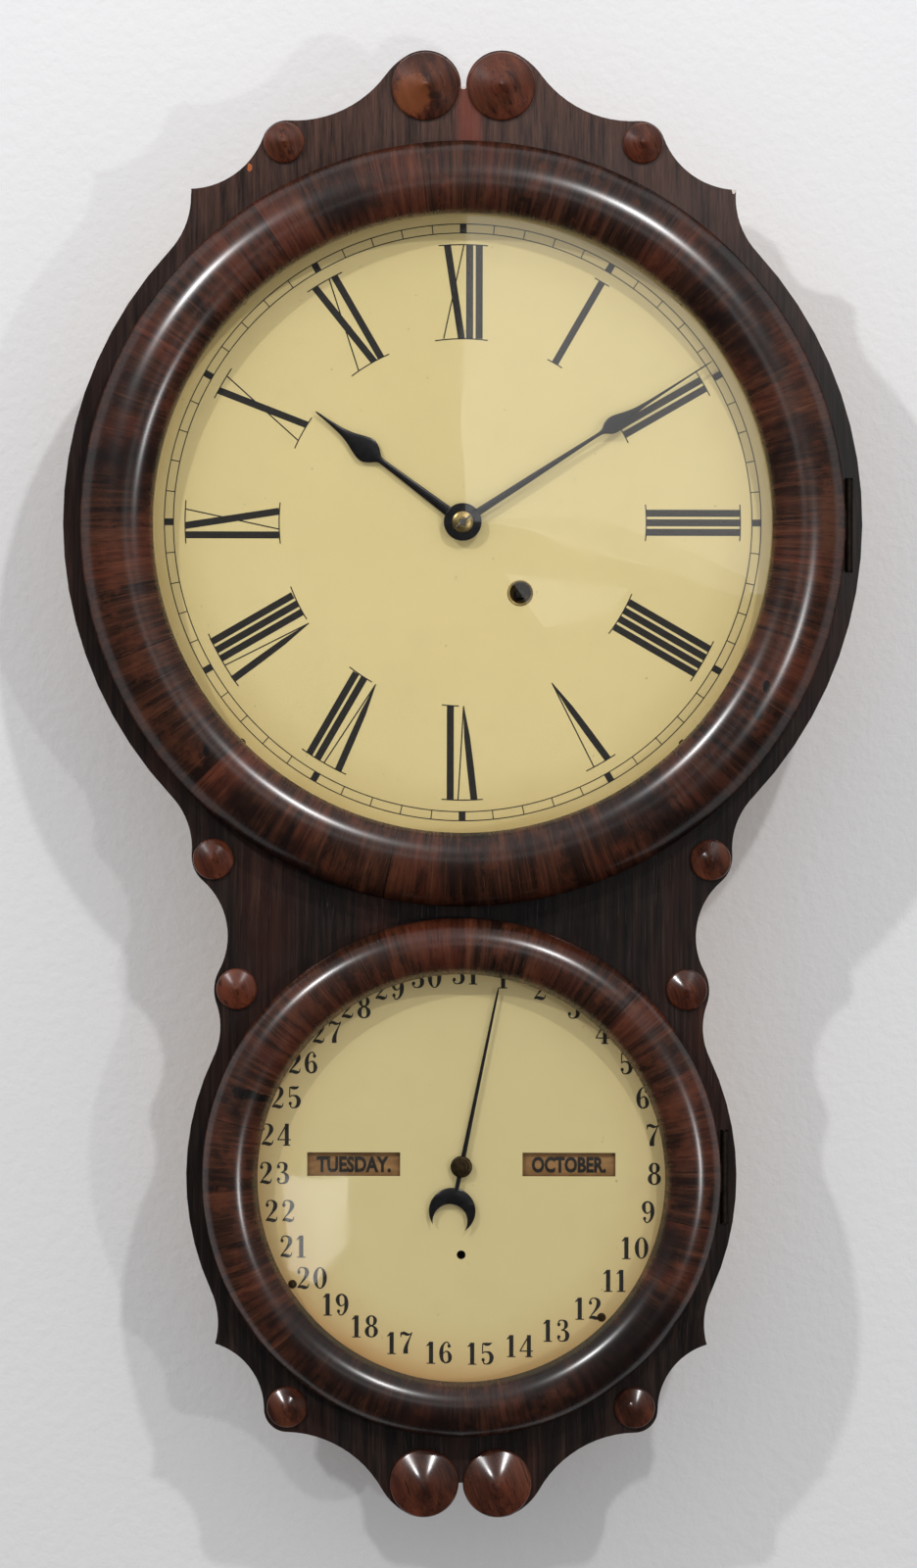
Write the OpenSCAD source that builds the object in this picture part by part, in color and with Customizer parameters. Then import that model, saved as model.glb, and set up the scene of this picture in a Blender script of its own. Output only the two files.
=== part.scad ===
// Double-dial perpetual calendar wall clock.
// The origin is the centre of the hanger hole, in the wall plane; +Z is up and the dials face -Y.
// Most modules draw in the plane of the dials: x to the right, z up, and h, the height above the wall.

/* [Case] */
// Hanger hole down to the middle of the time dial
time_drop = 188; // [186:1:196]
// Between the middles of the two dials
dial_gap = 320.5; // [312:0.5:330]
// Thickness of the back board
back_t = 8; // [5:0.5:12]
// Depth of the box between the back board and the front board
box_d = 68; // [67:0.5:80]
// Thickness of the box's boards
wall_t = 12; // [8:0.5:16]
// Middle to side of the box behind the time dial
box_head = 168; // [160:1:172]
// Middle to side of the box behind the calendar dial
box_foot = 112; // [110:1:118]
// Half of the box's width at the waist
box_waist = 95; // [90:1:100]
// Thickness of the front board's core
core_t = 10; // [8:0.5:14]
// Thickness of the veneer on the front board
veneer_t = 1; // [0.6:0.1:2]
// Radius of the front board's round upper part
head_r = 199; // [197:0.5:202]
// Radius of the front board's round lower part
foot_r = 137; // [136:0.5:139]
// Radius of the opening behind the time dial
time_port_r = 120; // [100:1:140]
// Radius of the opening behind the calendar dial
cal_port_r = 90; // [88:0.5:96]

/* [Turned buttons] */
// Radius of the large buttons
big_cone_r = 17; // [12:0.5:18]
// Height of the large buttons
big_cone_h = 14; // [8:0.5:20]
// Radius of the small buttons
small_cone_r = 10.2; // [7:0.1:11]
// Height of the small buttons
small_cone_h = 9; // [5:0.5:14]
// Radius of the tenon that holds a button
tenon_r = 3; // [2:0.5:5]
// Length of that tenon
tenon_l = 7; // [4:0.5:9]

/* [Hanger] */
// Thickness of the hanger plate
hang_t = 2; // [1.5:0.5:4]
// Width of the hanger plate
hang_w = 30; // [24:1:44]
// Radius of the hanger hole
hang_r = 4; // [2.5:0.5:6]

/* [Bezels] */
// Outer radius of the time bezel
time_bezel_r = 190; // [186:0.5:192]
// Radius of the time bezel's opening
time_open_r = 153.3; // [150:0.1:155]
// Height of the time bezel
time_bezel_h = 28; // [24:0.5:34]
// From the time bezel's opening out to the crest of its roll
roll_in = 15.4; // [14:0.2:17]
// Outer radius of the calendar bezel
cal_bezel_r = 128.7; // [126:0.1:130]
// Radius of the calendar bezel's opening
cal_open_r = 101; // [100:0.1:104]
// Height of the calendar bezel
cal_bezel_h = 22; // [19:0.5:26]
// How far the time bezel sits below its dial's middle
time_sag = 1; // [0:0.5:3]
// How far the calendar bezel sits below its dial's middle
cal_sag = 5; // [3:0.5:6]
// Thickness of the glasses
glass_t = 2; // [1.5:0.1:3]
// Gap between a closed bezel and the board
door_gap = 0.3; // [0.2:0.1:0.6]
// How far the glass stands above the board, at its back
glass_lift = 11; // [10:0.5:13]
// Depth of the step that the glass lies in, measured from the opening
rebate_w = 5.5; // [4:0.5:7]

/* [Hinges and catches] */
// Length of the hinges
hinge_l = 45; // [30:1:60]
// Radius of the hinge barrels
barrel_r = 1.8; // [1.6:0.1:2.1]
// Radius of the hinge pins
hinge_pin_r = 0.9; // [0.6:0.1:1.1]
// Width of a hinge leaf, from the pin
leaf_w = 14; // [10:0.5:18]
// Thickness of a hinge leaf
leaf_t = 1; // [0.6:0.1:1.2]
// Radius of the catch pins
catch_r = 1.6; // [1:0.1:2.5]
// How far a catch pin enters the board
catch_l = 6; // [3:0.5:9]

/* [Dials] */
// Thickness of the dial sheets
dial_t = 0.6; // [0.4:0.1:0.8]
// Radius of the time dial
time_dial_r = 158; // [156:0.5:158.5]
// Radius of the calendar dial
cal_dial_r = 108.5; // [108:0.1:109]
// Winding hole, right of the middle
wind_x = 28.7; // [27:0.1:30]
// Winding hole, below the middle
wind_down = 35.1; // [34:0.1:36.5]
// Radius of the winding hole inside its grommet
wind_r = 5.3; // [4.6:0.1:6]
// Radius of the winding grommet's rim
grommet_r = 6.4; // [6:0.1:8]
// Width of the two windows
window_w = 46.3; // [40:0.5:48]
// Height of the two windows
window_h = 11.8; // [9:0.1:14]
// Middle of a window, out from the dial's middle
window_x = 53.6; // [52:0.1:55]
// How far the windows sit above the dial's middle
window_up = 1; // [0:0.5:2]
// Radius of the setting hole
set_r = 2.2; // [1.5:0.1:3]
// Setting hole, below the dial's middle
set_down = 44; // [40:0.5:60]

/* [Hands] */
// Length of the hour hand
hour_l = 91.6; // [84:0.1:100]
// Length of the minute hand
minute_l = 149.5; // [140:0.5:150]
// Length of the date hand
date_l = 91; // [84:0.5:97]
// Thickness of the hands
hand_t = 0.9; // [0.6:0.1:1.2]
// Hour hand, degrees clockwise from the top
hour_at = 306.5; // [0:0.5:359.5]
// Minute hand, degrees clockwise from the top
minute_at = 58.7; // [0:0.1:359.9]
// Day of the month that the date hand points at
date_day = 1; // [1:1:31]

/* [Movement] */
// Thickness of the movement's plates
plate_t = 1.6; // [1.2:0.1:2]
// Space between the plates
plate_gap = 30.4; // [30:0.1:32]
// Space between the back board and the movement
mount_h = 20.4; // [18:0.1:22]
// Radius of the movement's pillars
pillar_r = 4; // [3:0.1:6]
// Radius of the train's arbors
arbor_r = 1.5; // [1.3:0.1:1.7]
// Radius of the pivots
pivot_r = 0.9; // [0.6:0.1:1.1]
// Radius of the centre arbor
centre_r = 2; // [1.8:0.1:2.2]
// Running clearance, on the radius
run = 0.05; // [0.03:0.01:0.08]
// Tooth size of the centre wheel and third pinion
third_m = 0.6; // [0.58:0.01:0.64]
// Tooth size of the third wheel and escape pinion
escape_m = 0.5; // [0.48:0.01:0.52]
// Radius of the escape wheel
escape_r = 16; // [15:0.1:16.5]
// Radius of the wound mainspring
spring_r = 19; // [14:0.5:20]
// Radius of the pendulum bob
bob_r = 30; // [20:0.5:36]
// Thickness of the pendulum bob
bob_t = 13; // [8:0.5:15]
// Pivot of the pendulum down to the middle of its bob
pendulum_l = 268; // [258:1:275]

/* [Calendar works] */
// Radius of the day and month rollers
roller_r = 22.5; // [19:0.5:23]
// Length of the rollers
roller_l = 52; // [50:0.5:53]
// Radius of the date wheel
date_wheel_r = 20; // [18:0.1:21]
// How far the calendar wire rises
lift = 3; // [2:0.1:3.5]
// Radius of the calendar wire
wire_r = 0.9; // [0.7:0.1:1.1]

/* [Hidden] */
$fn = 96;

ROSEWOOD = "#4a2318";
PINE = "#b98a58";
BRASS = "#b8934a";
STEEL = "#8c8f92";
BLUED = "#1c1b1e";
CREAM = "#e9d9a6";
TIN = "#a9a9a4";

// Heights above the wall
board_h = back_t + box_d;
veneer_h = board_h + core_t;
face_h = veneer_h + veneer_t;
dial_h = face_h + dial_t;
door_h = face_h + door_gap;
glass_h = face_h + glass_lift;
// Middles of the two dials and of their bezels
tz = -time_drop;
cz = tz - dial_gap;
time_bz = tz - time_sag;
cal_bz = cz - cal_sag;
// Fits
fit = 0.5;
snug = 0.05;
glue = 0.05;
eps = 0.01;

// Draws its children in the plane of the dials, at x and z, standing on height h
module at(x, z, h) {
    translate([x, -h, z])
        rotate([90, 0, 0])
            children();
}

// A round rod that stands on height h and is l long
module rod(x, z, h, l, r) {
    at(x, z, h)
        cylinder(h = l, r = r);
}

// A flat piece from height h, t thick
module slab(h, t) {
    at(0, 0, h)
        linear_extrude(t)
            children();
}

// Puts its children at each [x, z] of a list
module each_at(places, h) {
    for (p = places)
        at(p[0], p[1], h)
            children();
}

function both(places) = [for (p = places, s = [-1, 1]) [s * p[0], p[1]]];
function polar(r, a) = [r * cos(a), r * sin(a)];

// Points of an arc from p to q, bulging outwards where r is positive, without p itself
function arc(p, q, r) =
    let (d = q - p, half = norm(d) / 2, n = [d[1], -d[0]] / (2 * half), side = r > 0 ? 1 : -1)
    let (c = (p + q) / 2 + side * sqrt(r * r - half * half) * n, a = 2 * asin(half / abs(r)))
    let (from = atan2(p[1] - c[1], p[0] - c[0]), steps = max(2, ceil(a / 5)))
    [for (i = [1:steps]) c + polar(abs(r), from - side * a * i / steps)];

// A chain of [x, z, radius of the arc that leads there], with 0 for a straight line
function chain(p) = concat([[p[0][0], p[0][1]]],
    [for (i = [1:len(p) - 1])
        each p[i][2] == 0
            ? [[p[i][0], p[i][1]]]
            : arc([p[i - 1][0], p[i - 1][1]], [p[i][0], p[i][1]], p[i][2])]);

// Right half of the front board, from the notch between the upper ears down to the lower notch
head_a = 42.7;
head_b = -43.3;
foot_a = 25.6;
foot_b = -24.4;
right_edge = chain([
    [0, tz + 217, 0], [1.2, tz + 217, 0], [27.9, tz + 232.6, 17.8], [38.6, tz + 223, 34.3],
    [87.3, tz + 200, -56], [99.7, tz + 191.7, 12.5], [135.8, tz + 165.8, -39.8],
    [head_r * cos(head_a), tz + head_r * sin(head_a), -40],
    [head_r * cos(head_b), tz + head_r * sin(head_b), head_r],
    [134.6, tz - 165.2, -37.4], [129, tz - 178.6, 16.3], [120.9, cz + 97.1, -36.6],
    [122.2, cz + 81.1, 20.2], [foot_r * cos(foot_a), cal_bz + foot_r * sin(foot_a), -35],
    [foot_r * cos(foot_b), cal_bz + foot_r * sin(foot_b), foot_r],
    [122.4, cz - 88.5, -38.7], [98, cz - 121, -34.4], [86.5, cz - 132.4, 11.5],
    [39.1, cz - 160.9, -56.3], [25.3, cz - 173.4, 30.7], [1, cz - 157.5, 17.5], [0, cz - 157.5, 0]]);
function mirrored(p) = [for (i = [len(p) - 1:-1:0]) if (p[i][0] > eps) [-p[i][0], p[i][1]]];
module board_outline() polygon(concat(right_edge, mirrored(right_edge)));

// Where the turned buttons stand
big_places = both([[19, tz + 217], [18.3, cz - 157.5]]);
small_places = both([[89.3, tz + 188.8], [123.8, tz - 167.8], [112, cz + 88.1], [86.5, cz - 119.9]]);

// The box follows two octagons joined by a straight waist
t8 = tan(22.5);
head_end = tz - t8 * box_head - (box_head - box_waist);
foot_start = cal_bz + t8 * box_foot + (box_foot - box_waist);
box_right = [[t8 * box_head, tz + box_head], [box_head, tz + t8 * box_head], [box_head, tz - t8 * box_head],
    [box_waist, head_end], [box_waist, foot_start], [box_foot, cal_bz + t8 * box_foot],
    [box_foot, cal_bz - t8 * box_foot], [t8 * box_foot, cal_bz - box_foot]];
box_out = concat(box_right, mirrored(box_right));
function unit(v) = v / norm(v);
function crossing(p, u, q, v) = p + u * ((q - p)[0] * v[1] - (q - p)[1] * v[0]) / (u[0] * v[1] - u[1] * v[0]);
function inset(p, d) =
    [for (i = [0:len(p) - 1])
        let (a = p[(i + len(p) - 1) % len(p)], b = p[i], c = p[(i + 1) % len(p)])
        let (u = unit(b - a), v = unit(c - b))
        crossing(a + d * [u[1], -u[0]], u, b + d * [v[1], -v[0]], v)];
box_in = inset(box_out, wall_t);

// Places of the wood screws: [x, z, height of the head, length, 1 if the head faces forwards]
screw_r = 1.4;
screw_head_r = 2.7;
screw_head_t = 1.6;
screw_l = 16;
back_line = inset(box_out, wall_t / 2);
back_screws = [for (i = [0:len(back_line) - 1])
    let (m = (back_line[i] + back_line[(i + 1) % len(back_line)]) / 2)
    if (abs(m[0]) > hang_w / 2 || m[1] < cz) m];
hang_low = tz + box_head - 46;
hang_screws = [[0, hang_low + 8], [0, hang_low + 34], [-9, hang_low + 21], [9, hang_low + 21]];

module screw(l) {
    rotate_extrude()
        polygon([[0, -l], [screw_r, -l + 2 * screw_r], [screw_r, -screw_head_t],
            [screw_head_r, 0], [0, 0]]);
}
module screw_hole(l) {
    rotate_extrude()
        polygon([[0, -l - 1], [screw_r + snug, -l - 1], [screw_r + snug, -screw_head_t],
            [screw_head_r + snug, 0], [screw_head_r + snug, 1], [0, 1]]);
}
// Turns a screw round so that its head faces the wall
module from_behind(x, z, h) {
    at(x, z, h)
        rotate([180, 0, 0])
            children();
}

// Hinges: the pin stands clear of the bezel's rim, level with the gap between bezel and board
hinge_out = barrel_r + 0.4;
time_hinge_x = time_bezel_r + hinge_out;
cal_hinge_x = cal_bezel_r + hinge_out;
hinge_h = face_h + door_gap / 2;
knuckle_gap = 0.15;
pin_head = 0.6;
knuckle_l = (hinge_l - 2 * knuckle_gap) / 3;
leaf_holes = [-0.33, 0, 0.33];
leaf_screw_l = 5.5;
leaf_screw_r = 1;
leaf_screw_head_r = leaf_screw_r + 0.9 * leaf_t;

module leaf_plate(x, z, h) {
    translate([x - leaf_w, -h - leaf_t, z - hinge_l / 2])
        cube([leaf_w, leaf_t, hinge_l]);
}
module leaf_screw(l) {
    rotate_extrude()
        polygon([[0, -l], [leaf_screw_r, -l + 1.5], [leaf_screw_r, -leaf_t], [leaf_screw_head_r, 0], [0, 0]]);
}
module leaf_screw_hole(l) {
    rotate_extrude()
        polygon([[0, -l - 1], [leaf_screw_r + snug, -l - 1], [leaf_screw_r + snug, -leaf_t],
            [leaf_screw_head_r + snug, 0], [leaf_screw_head_r + snug, 1], [0, 1]]);
}
function leaf_screws(x, z) = [for (k = leaf_holes) [x - leaf_w * 0.6, z + k * hinge_l]];

// Room for both hinges in the front board
module hinge_room(x, z) {
    translate([x - leaf_w - snug, -face_h - 1, z - hinge_l / 2 - snug])
        cube([leaf_w + snug, leaf_t + snug + 1, hinge_l + 2 * snug]);
    translate([x, -hinge_h, z - hinge_l / 2 - pin_head - 0.4])
        cylinder(h = hinge_l + 2 * pin_head + 0.8, r = barrel_r + 0.2);
}

// Everything that is cut into the front board and its veneer
module board_cuts() {
    rod(0, tz, board_h - 1, core_t + veneer_t + 2, time_port_r);
    rod(0, cz, board_h - 1, core_t + veneer_t + 2, cal_port_r);
    for (p = concat(big_places, small_places))
        rod(p[0], p[1], face_h - tenon_l - snug, tenon_l + 1, tenon_r + snug);
    hinge_room(time_hinge_x, time_bz);
    hinge_room(cal_hinge_x, cal_bz);
    each_at(concat(leaf_screws(time_hinge_x, time_bz), leaf_screws(cal_hinge_x, cal_bz)), face_h)
        leaf_screw_hole(leaf_screw_l);
    for (c = catch_places)
        rod(c[0], c[1], face_h - catch_l - 1, catch_l + 2, catch_r + 0.4);
    each_at(dial_screws_at, dial_h)
        dial_screw_hole();
    each_at(frame_screw_places, board_h)
        mirror([0, 0, 1])
            rod_hole(frame_screw_r + snug, 7);
}
module rod_hole(r, l) {
    translate([0, 0, -l])
        cylinder(h = l + 1, r = r);
}

module front_board() color(PINE) {
    difference() {
        slab(board_h, core_t)
            board_outline();
        board_cuts();
    }
}

module front_veneer() color(ROSEWOOD) {
    difference() {
        slab(veneer_h, veneer_t)
            board_outline();
        board_cuts();
    }
}

// Sixteen mitred boards, each cut back a hair at both ends for the glue line
module box_boards() color(PINE) {
    count = len(box_out);
    difference() {
        for (i = [0:count - 1]) {
            j = (i + 1) % count;
            u = unit(box_out[j] - box_out[i]) * glue;
            slab(back_t, box_d)
                polygon([box_out[i] + u, box_out[j] - u, box_in[j] - u, box_in[i] + u]);
        }
        for (p = back_screws)
            from_behind(p[0], p[1], 0)
                screw_hole(screw_l);
    }
}

module back_board() color(PINE) {
    difference() {
        slab(0, back_t)
            polygon(box_out);
        for (p = back_screws)
            from_behind(p[0], p[1], 0)
                screw_hole(screw_l);
        at(0, 0, -1)
            translate([-hang_w / 2 - snug, hang_low - snug, 0])
                cube([hang_w + 2 * snug, tz + box_head - hang_low + 2, hang_t + 1]);
        for (p = hang_screws)
            from_behind(p[0], p[1], 0)
                screw_hole(hang_screw_l);
        for (p = block_screws)
            from_behind(p[0], p[1], 0)
                screw_hole(screw_l);
    }
}

// The plate that the clock hangs by, let into the back board
hang_screw_l = 7;
module hanger_plate() color(BRASS) {
    difference() {
        union() {
            slab(0, hang_t)
                translate([-hang_w / 2, hang_low])
                    square([hang_w, -hang_low]);
            rod(0, 0, 0, hang_t, hang_w / 2);
        }
        rod(0, 0, -1, hang_t + 2, hang_r);
        for (p = hang_screws)
            from_behind(p[0], p[1], 0)
                screw_hole(hang_screw_l);
    }
}

module wood_screws() color(STEEL) {
    for (p = back_screws)
        from_behind(p[0], p[1], 0)
            screw(screw_l);
    for (p = hang_screws)
        from_behind(p[0], p[1], 0)
            screw(hang_screw_l);
    for (p = block_screws)
        from_behind(p[0], p[1], 0)
            screw(screw_l);
    each_at(plate_screws, gap_h)
        screw(plate_screw_l);
    each_at(concat(leaf_screws(time_hinge_x, time_bz), leaf_screws(cal_hinge_x, cal_bz)), face_h)
        leaf_screw(leaf_screw_l);
}

// A turned cone on a low cylindrical foot, with a tenon behind
module button(r, h) {
    foot = 1.4;
    rotate_extrude()
        polygon([[0, -tenon_l], [tenon_r, -tenon_l], [tenon_r, 0], [r, 0], [r, foot],
            [r - 0.8, foot + 0.7], [1.2, h - 0.5], [0, h]]);
}
module large_buttons() color(ROSEWOOD) {
    each_at(big_places, face_h)
        button(big_cone_r, big_cone_h);
}
module small_buttons() color(ROSEWOOD) {
    each_at(small_places, face_h)
        button(small_cone_r, small_cone_h);
}

// Screws that hold the dials: the calendar dial's upper two hide in its bezel's step, the lower two show
dial_screw_r = 1.1;
dial_screw_head_r = 2.2;
dial_screw_l = 7;
dial_screws_at = concat(
    [for (a = [45:90:315]) [0, tz] + polar(time_dial_r - 2.5, a)],
    [for (a = [45, 135]) [0, cal_bz] + polar(cal_open_r + rebate_w - dial_screw_head_r - fit, a)],
    [for (a = [215, 313]) [0, cz] + polar(cal_dial_r - 6, a)]);
module dial_screw() {
    rotate_extrude()
        polygon([[0, -dial_screw_l], [dial_screw_r, 1.5 - dial_screw_l], [dial_screw_r, 0],
            [dial_screw_head_r, 0], [dial_screw_head_r - 0.5, 0.8], [0, 1]]);
}
module dial_screw_hole() {
    translate([0, 0, -dial_screw_l - dial_t - 1])
        cylinder(h = dial_screw_l + dial_t + 2, r = dial_screw_r + snug);
}
module dial_screws() color(STEEL) {
    each_at(dial_screws_at, dial_h)
        dial_screw();
}

module time_dial() color(CREAM) {
    difference() {
        rod(0, tz, face_h, dial_t, time_dial_r);
        rod(0, tz, face_h - 1, dial_t + 2, pipe_r + fit);
        rod(winding[0], winding[1], face_h - 1, dial_t + 2, wind_r + grommet_wall + snug);
        each_at(dial_screws_at, dial_h)
            dial_screw_hole();
    }
}

// Brass bush in the winding hole: a rim on the dial and a short tube through it
grommet_wall = 0.5;
module winding_grommet() color(BRASS) {
    at(winding[0], winding[1], dial_h)
        rotate_extrude()
            polygon([[wind_r, -dial_t - 1], [wind_r + grommet_wall, -dial_t - 1], [wind_r + grommet_wall, 0],
                [grommet_r, 0], [grommet_r, 0.3], [grommet_r - 0.4, 0.6], [wind_r, 0.5]]);
}

module calendar_dial() color(CREAM) {
    difference() {
        rod(0, cz, face_h, dial_t, cal_dial_r);
        rod(0, cz, face_h - 1, dial_t + 2, date_r + fit);
        for (s = [-1, 1])
            slab(face_h - 1, dial_t + 2)
                translate([s * window_x - window_w / 2, cz + window_up - window_h / 2])
                    square([window_w, window_h]);
        rod(0, cz - set_down, face_h - 1, dial_t + 2, set_r);
        each_at(dial_screws_at, dial_h)
            dial_screw_hole();
    }
}

// Hinges
module fixed_leaf(x, z) {
    difference() {
        union() {
            leaf_plate(x, z, face_h - leaf_t);
            barrel_solid(x, z - hinge_l / 2, hinge_l);
        }
        knuckle_room(x, z - knuckle_l / 2 - knuckle_gap, knuckle_l + 2 * knuckle_gap);
        pin_bore(x, z);
        each_at(leaf_screws(x, z), face_h)
            leaf_screw_hole(leaf_screw_l);
    }
}
module barrel_solid(x, z0, l) {
    translate([x, -hinge_h, z0])
        cylinder(h = l, r = barrel_r);
}
module pin_bore(x, z) {
    translate([x, -hinge_h, z - hinge_l])
        cylinder(h = 2 * hinge_l, r = hinge_pin_r + run);
}
// Space cleared for the other leaf's knuckle
module knuckle_room(x, z0, l) {
    translate([x - barrel_r - 0.3, -hinge_h - barrel_r - 1, z0])
        cube([2 * barrel_r + 1.3, 2 * barrel_r + 2, l]);
}
module fixed_hinge_leaves() color(BRASS) {
    fixed_leaf(time_hinge_x, time_bz);
    fixed_leaf(cal_hinge_x, cal_bz);
}
module hinge_pin(x, z) {
    translate([x, -hinge_h, z - hinge_l / 2 - pin_head]) {
        cylinder(h = hinge_l + 2 * pin_head, r = hinge_pin_r);
        cylinder(h = pin_head - snug, r = barrel_r - 0.3);
        translate([0, 0, hinge_l + pin_head + snug])
            cylinder(h = pin_head - snug, r = barrel_r - 0.3);
    }
}
module hinge_pins() color(STEEL) {
    hinge_pin(time_hinge_x, time_bz);
    hinge_pin(cal_hinge_x, cal_bz);
}
// The leaf that is let into the back of a bezel, with its three screws
module moving_leaf(x, z) {
    difference() {
        union() {
            leaf_plate(x, z, door_h);
            barrel_solid(x, z - knuckle_l / 2, knuckle_l);
        }
        for (s = [0, 1])
            knuckle_room(x, z + (s == 0 ? -hinge_l / 2 - 1 : knuckle_l / 2),
                (hinge_l - knuckle_l) / 2 + 1);
        pin_bore(x, z);
        for (p = leaf_screws(x, z))
            from_behind(p[0], p[1], door_h)
                leaf_screw_hole(leaf_screw_l);
    }
    for (p = leaf_screws(x, z))
        from_behind(p[0], p[1], door_h)
            leaf_screw(leaf_screw_l);
}
module time_hinge_leaf() color(BRASS) moving_leaf(time_hinge_x, time_bz);
module calendar_hinge_leaf() color(BRASS) moving_leaf(cal_hinge_x, cal_bz);

// Bezels: profiles as [radius, height above the bezel's back]
glass_top = glass_h + glass_t - door_h + snug;
dial_recess = dial_h + 0.4 - door_h;
function oval(c, a, b, from, to, n = 30) =
    [for (i = [0:n]) let (t = from + (to - from) * i / n) [c[0] + a * cos(t), c[1] + b * sin(t)]];
time_rebate_r = time_open_r + rebate_w;
cal_rebate_r = cal_open_r + rebate_w;
// The time bezel's roll falls to its rim on a wide quarter oval and to the glass on a narrower, lower one
crest_r = time_open_r + roll_in;
rim_h = 6;
inner_fall = 12;
inner_turn = 162;
time_profile = concat(
    [[time_bezel_r, 0]],
    oval([crest_r, rim_h], time_bezel_r - crest_r, time_bezel_h - rim_h, 0, 88, 24),
    oval([crest_r, time_bezel_h - inner_fall], -roll_in / cos(inner_turn), inner_fall, 90, inner_turn, 18),
    [[time_open_r, glass_top], [time_rebate_r, glass_top], [time_rebate_r, dial_recess],
        [time_dial_r + time_sag + fit, dial_recess], [time_dial_r + time_sag + fit, 0]]);
cal_base = 10;
cal_profile = concat(
    [[cal_bezel_r, 0]],
    oval([(cal_bezel_r + cal_open_r) / 2, cal_base], (cal_bezel_r - cal_open_r) / 2,
        cal_bezel_h - cal_base, 0, 152),
    [[cal_open_r, glass_top], [cal_rebate_r, glass_top], [cal_rebate_r, dial_recess],
        [cal_dial_r + cal_sag + fit, dial_recess], [cal_dial_r + cal_sag + fit, 0]]);

catch_in = 7;
catch_places = [[catch_in - time_bezel_r, time_bz], [catch_in - cal_bezel_r, cal_bz]];
catch_hold = 6;

module bezel(profile, z, hinge_x, catch_place) {
    difference() {
        at(0, z, door_h)
            rotate_extrude($fn = 180)
                polygon(profile);
        translate([hinge_x - leaf_w - snug, -door_h - leaf_t - snug, z - hinge_l / 2 - snug])
            cube([leaf_w + 2 * hinge_out, leaf_t + snug + 1, hinge_l + 2 * snug]);
        for (p = leaf_screws(hinge_x, z))
            from_behind(p[0], p[1], door_h)
                leaf_screw_hole(leaf_screw_l);
        rod(catch_place[0], catch_place[1], door_h - 1, catch_hold + 1 + snug, catch_r + snug);
    }
}
module time_bezel() color(ROSEWOOD) bezel(time_profile, time_bz, time_hinge_x, catch_places[0]);
module calendar_bezel() color(ROSEWOOD) bezel(cal_profile, cal_bz, cal_hinge_x, catch_places[1]);
module time_glass() color("#dfe9e6", 0.3) rod(0, time_bz, glass_h, glass_t, time_rebate_r - fit);
module calendar_glass() color("#dfe9e6", 0.3) rod(0, cal_bz, glass_h, glass_t, cal_rebate_r - fit);
// A fillet of putty behind the glass
module putty(z, rebate_r) {
    at(0, z, glass_h)
        rotate_extrude($fn = 180)
            polygon([[rebate_r - snug, 0], [rebate_r - 4.5, 0], [rebate_r - snug, -4]]);
}
module time_putty() color("#cfc3a0") putty(time_bz, time_rebate_r);
module calendar_putty() color("#cfc3a0") putty(cal_bz, cal_rebate_r);
module catch_pin(p) {
    at(p[0], p[1], face_h - catch_l)
        rotate_extrude()
            polygon([[0, 0], [catch_r * 0.5, 0], [catch_r, 1.5], [catch_r, catch_l + door_gap + catch_hold],
                [0, catch_l + door_gap + catch_hold]]);
}
module time_catch_pin() color(BRASS) catch_pin(catch_places[0]);
module calendar_catch_pin() color(BRASS) catch_pin(catch_places[1]);

// Movement: places are [x, z], measured from the centre arbor
mov_h = back_t + mount_h;
gap_h = mov_h + plate_t;
front_h = gap_h + plate_gap;
top_h = front_h + plate_t;
centre = [0, tz];
plate_low = [-44, -82];
plate_high = [84, 76];
block_w = 12;
winding = [wind_x, tz - wind_down];
great_teeth = 96;
centre_teeth = 72;
third_teeth = 82;
escape_teeth = 38;
leaves = 8;
great_m = 2 * norm(winding - centre) / (great_teeth + leaves);
third = centre + polar(third_m * (centre_teeth + leaves) / 2, 125.7);
escape_d = escape_m * (third_teeth + leaves) / 2;
escape = [0, third[1] + sqrt(escape_d * escape_d - third[0] * third[0])];
verge_up = 23.9;
verge_at = [0, escape[1] + verge_up];
pillar_places = [for (x = [plate_low[0] + 8, plate_high[0] - 8], z = [plate_low[1] + 8, plate_high[1] - 10])
    [x, tz + z]];
block_x = [plate_low[0] + block_w / 2, plate_high[0] - block_w / 2];
block_screws = [for (x = block_x, z = [-60, 60]) [x, tz + z]];
plate_screws = [for (x = block_x, z = [-35, 35]) [x, tz + z]];
plate_screw_l = 12;

module movement_blocks() color(PINE) {
    difference() {
        for (x = [plate_low[0], plate_high[0] - block_w])
            slab(back_t, mount_h)
                translate([x, tz + plate_low[1]])
                    square([block_w, plate_high[1] - plate_low[1]]);
        for (p = block_screws)
            from_behind(p[0], p[1], 0)
                screw_hole(screw_l);
        each_at(plate_screws, gap_h)
            screw_hole(plate_screw_l);
    }
}

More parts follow.
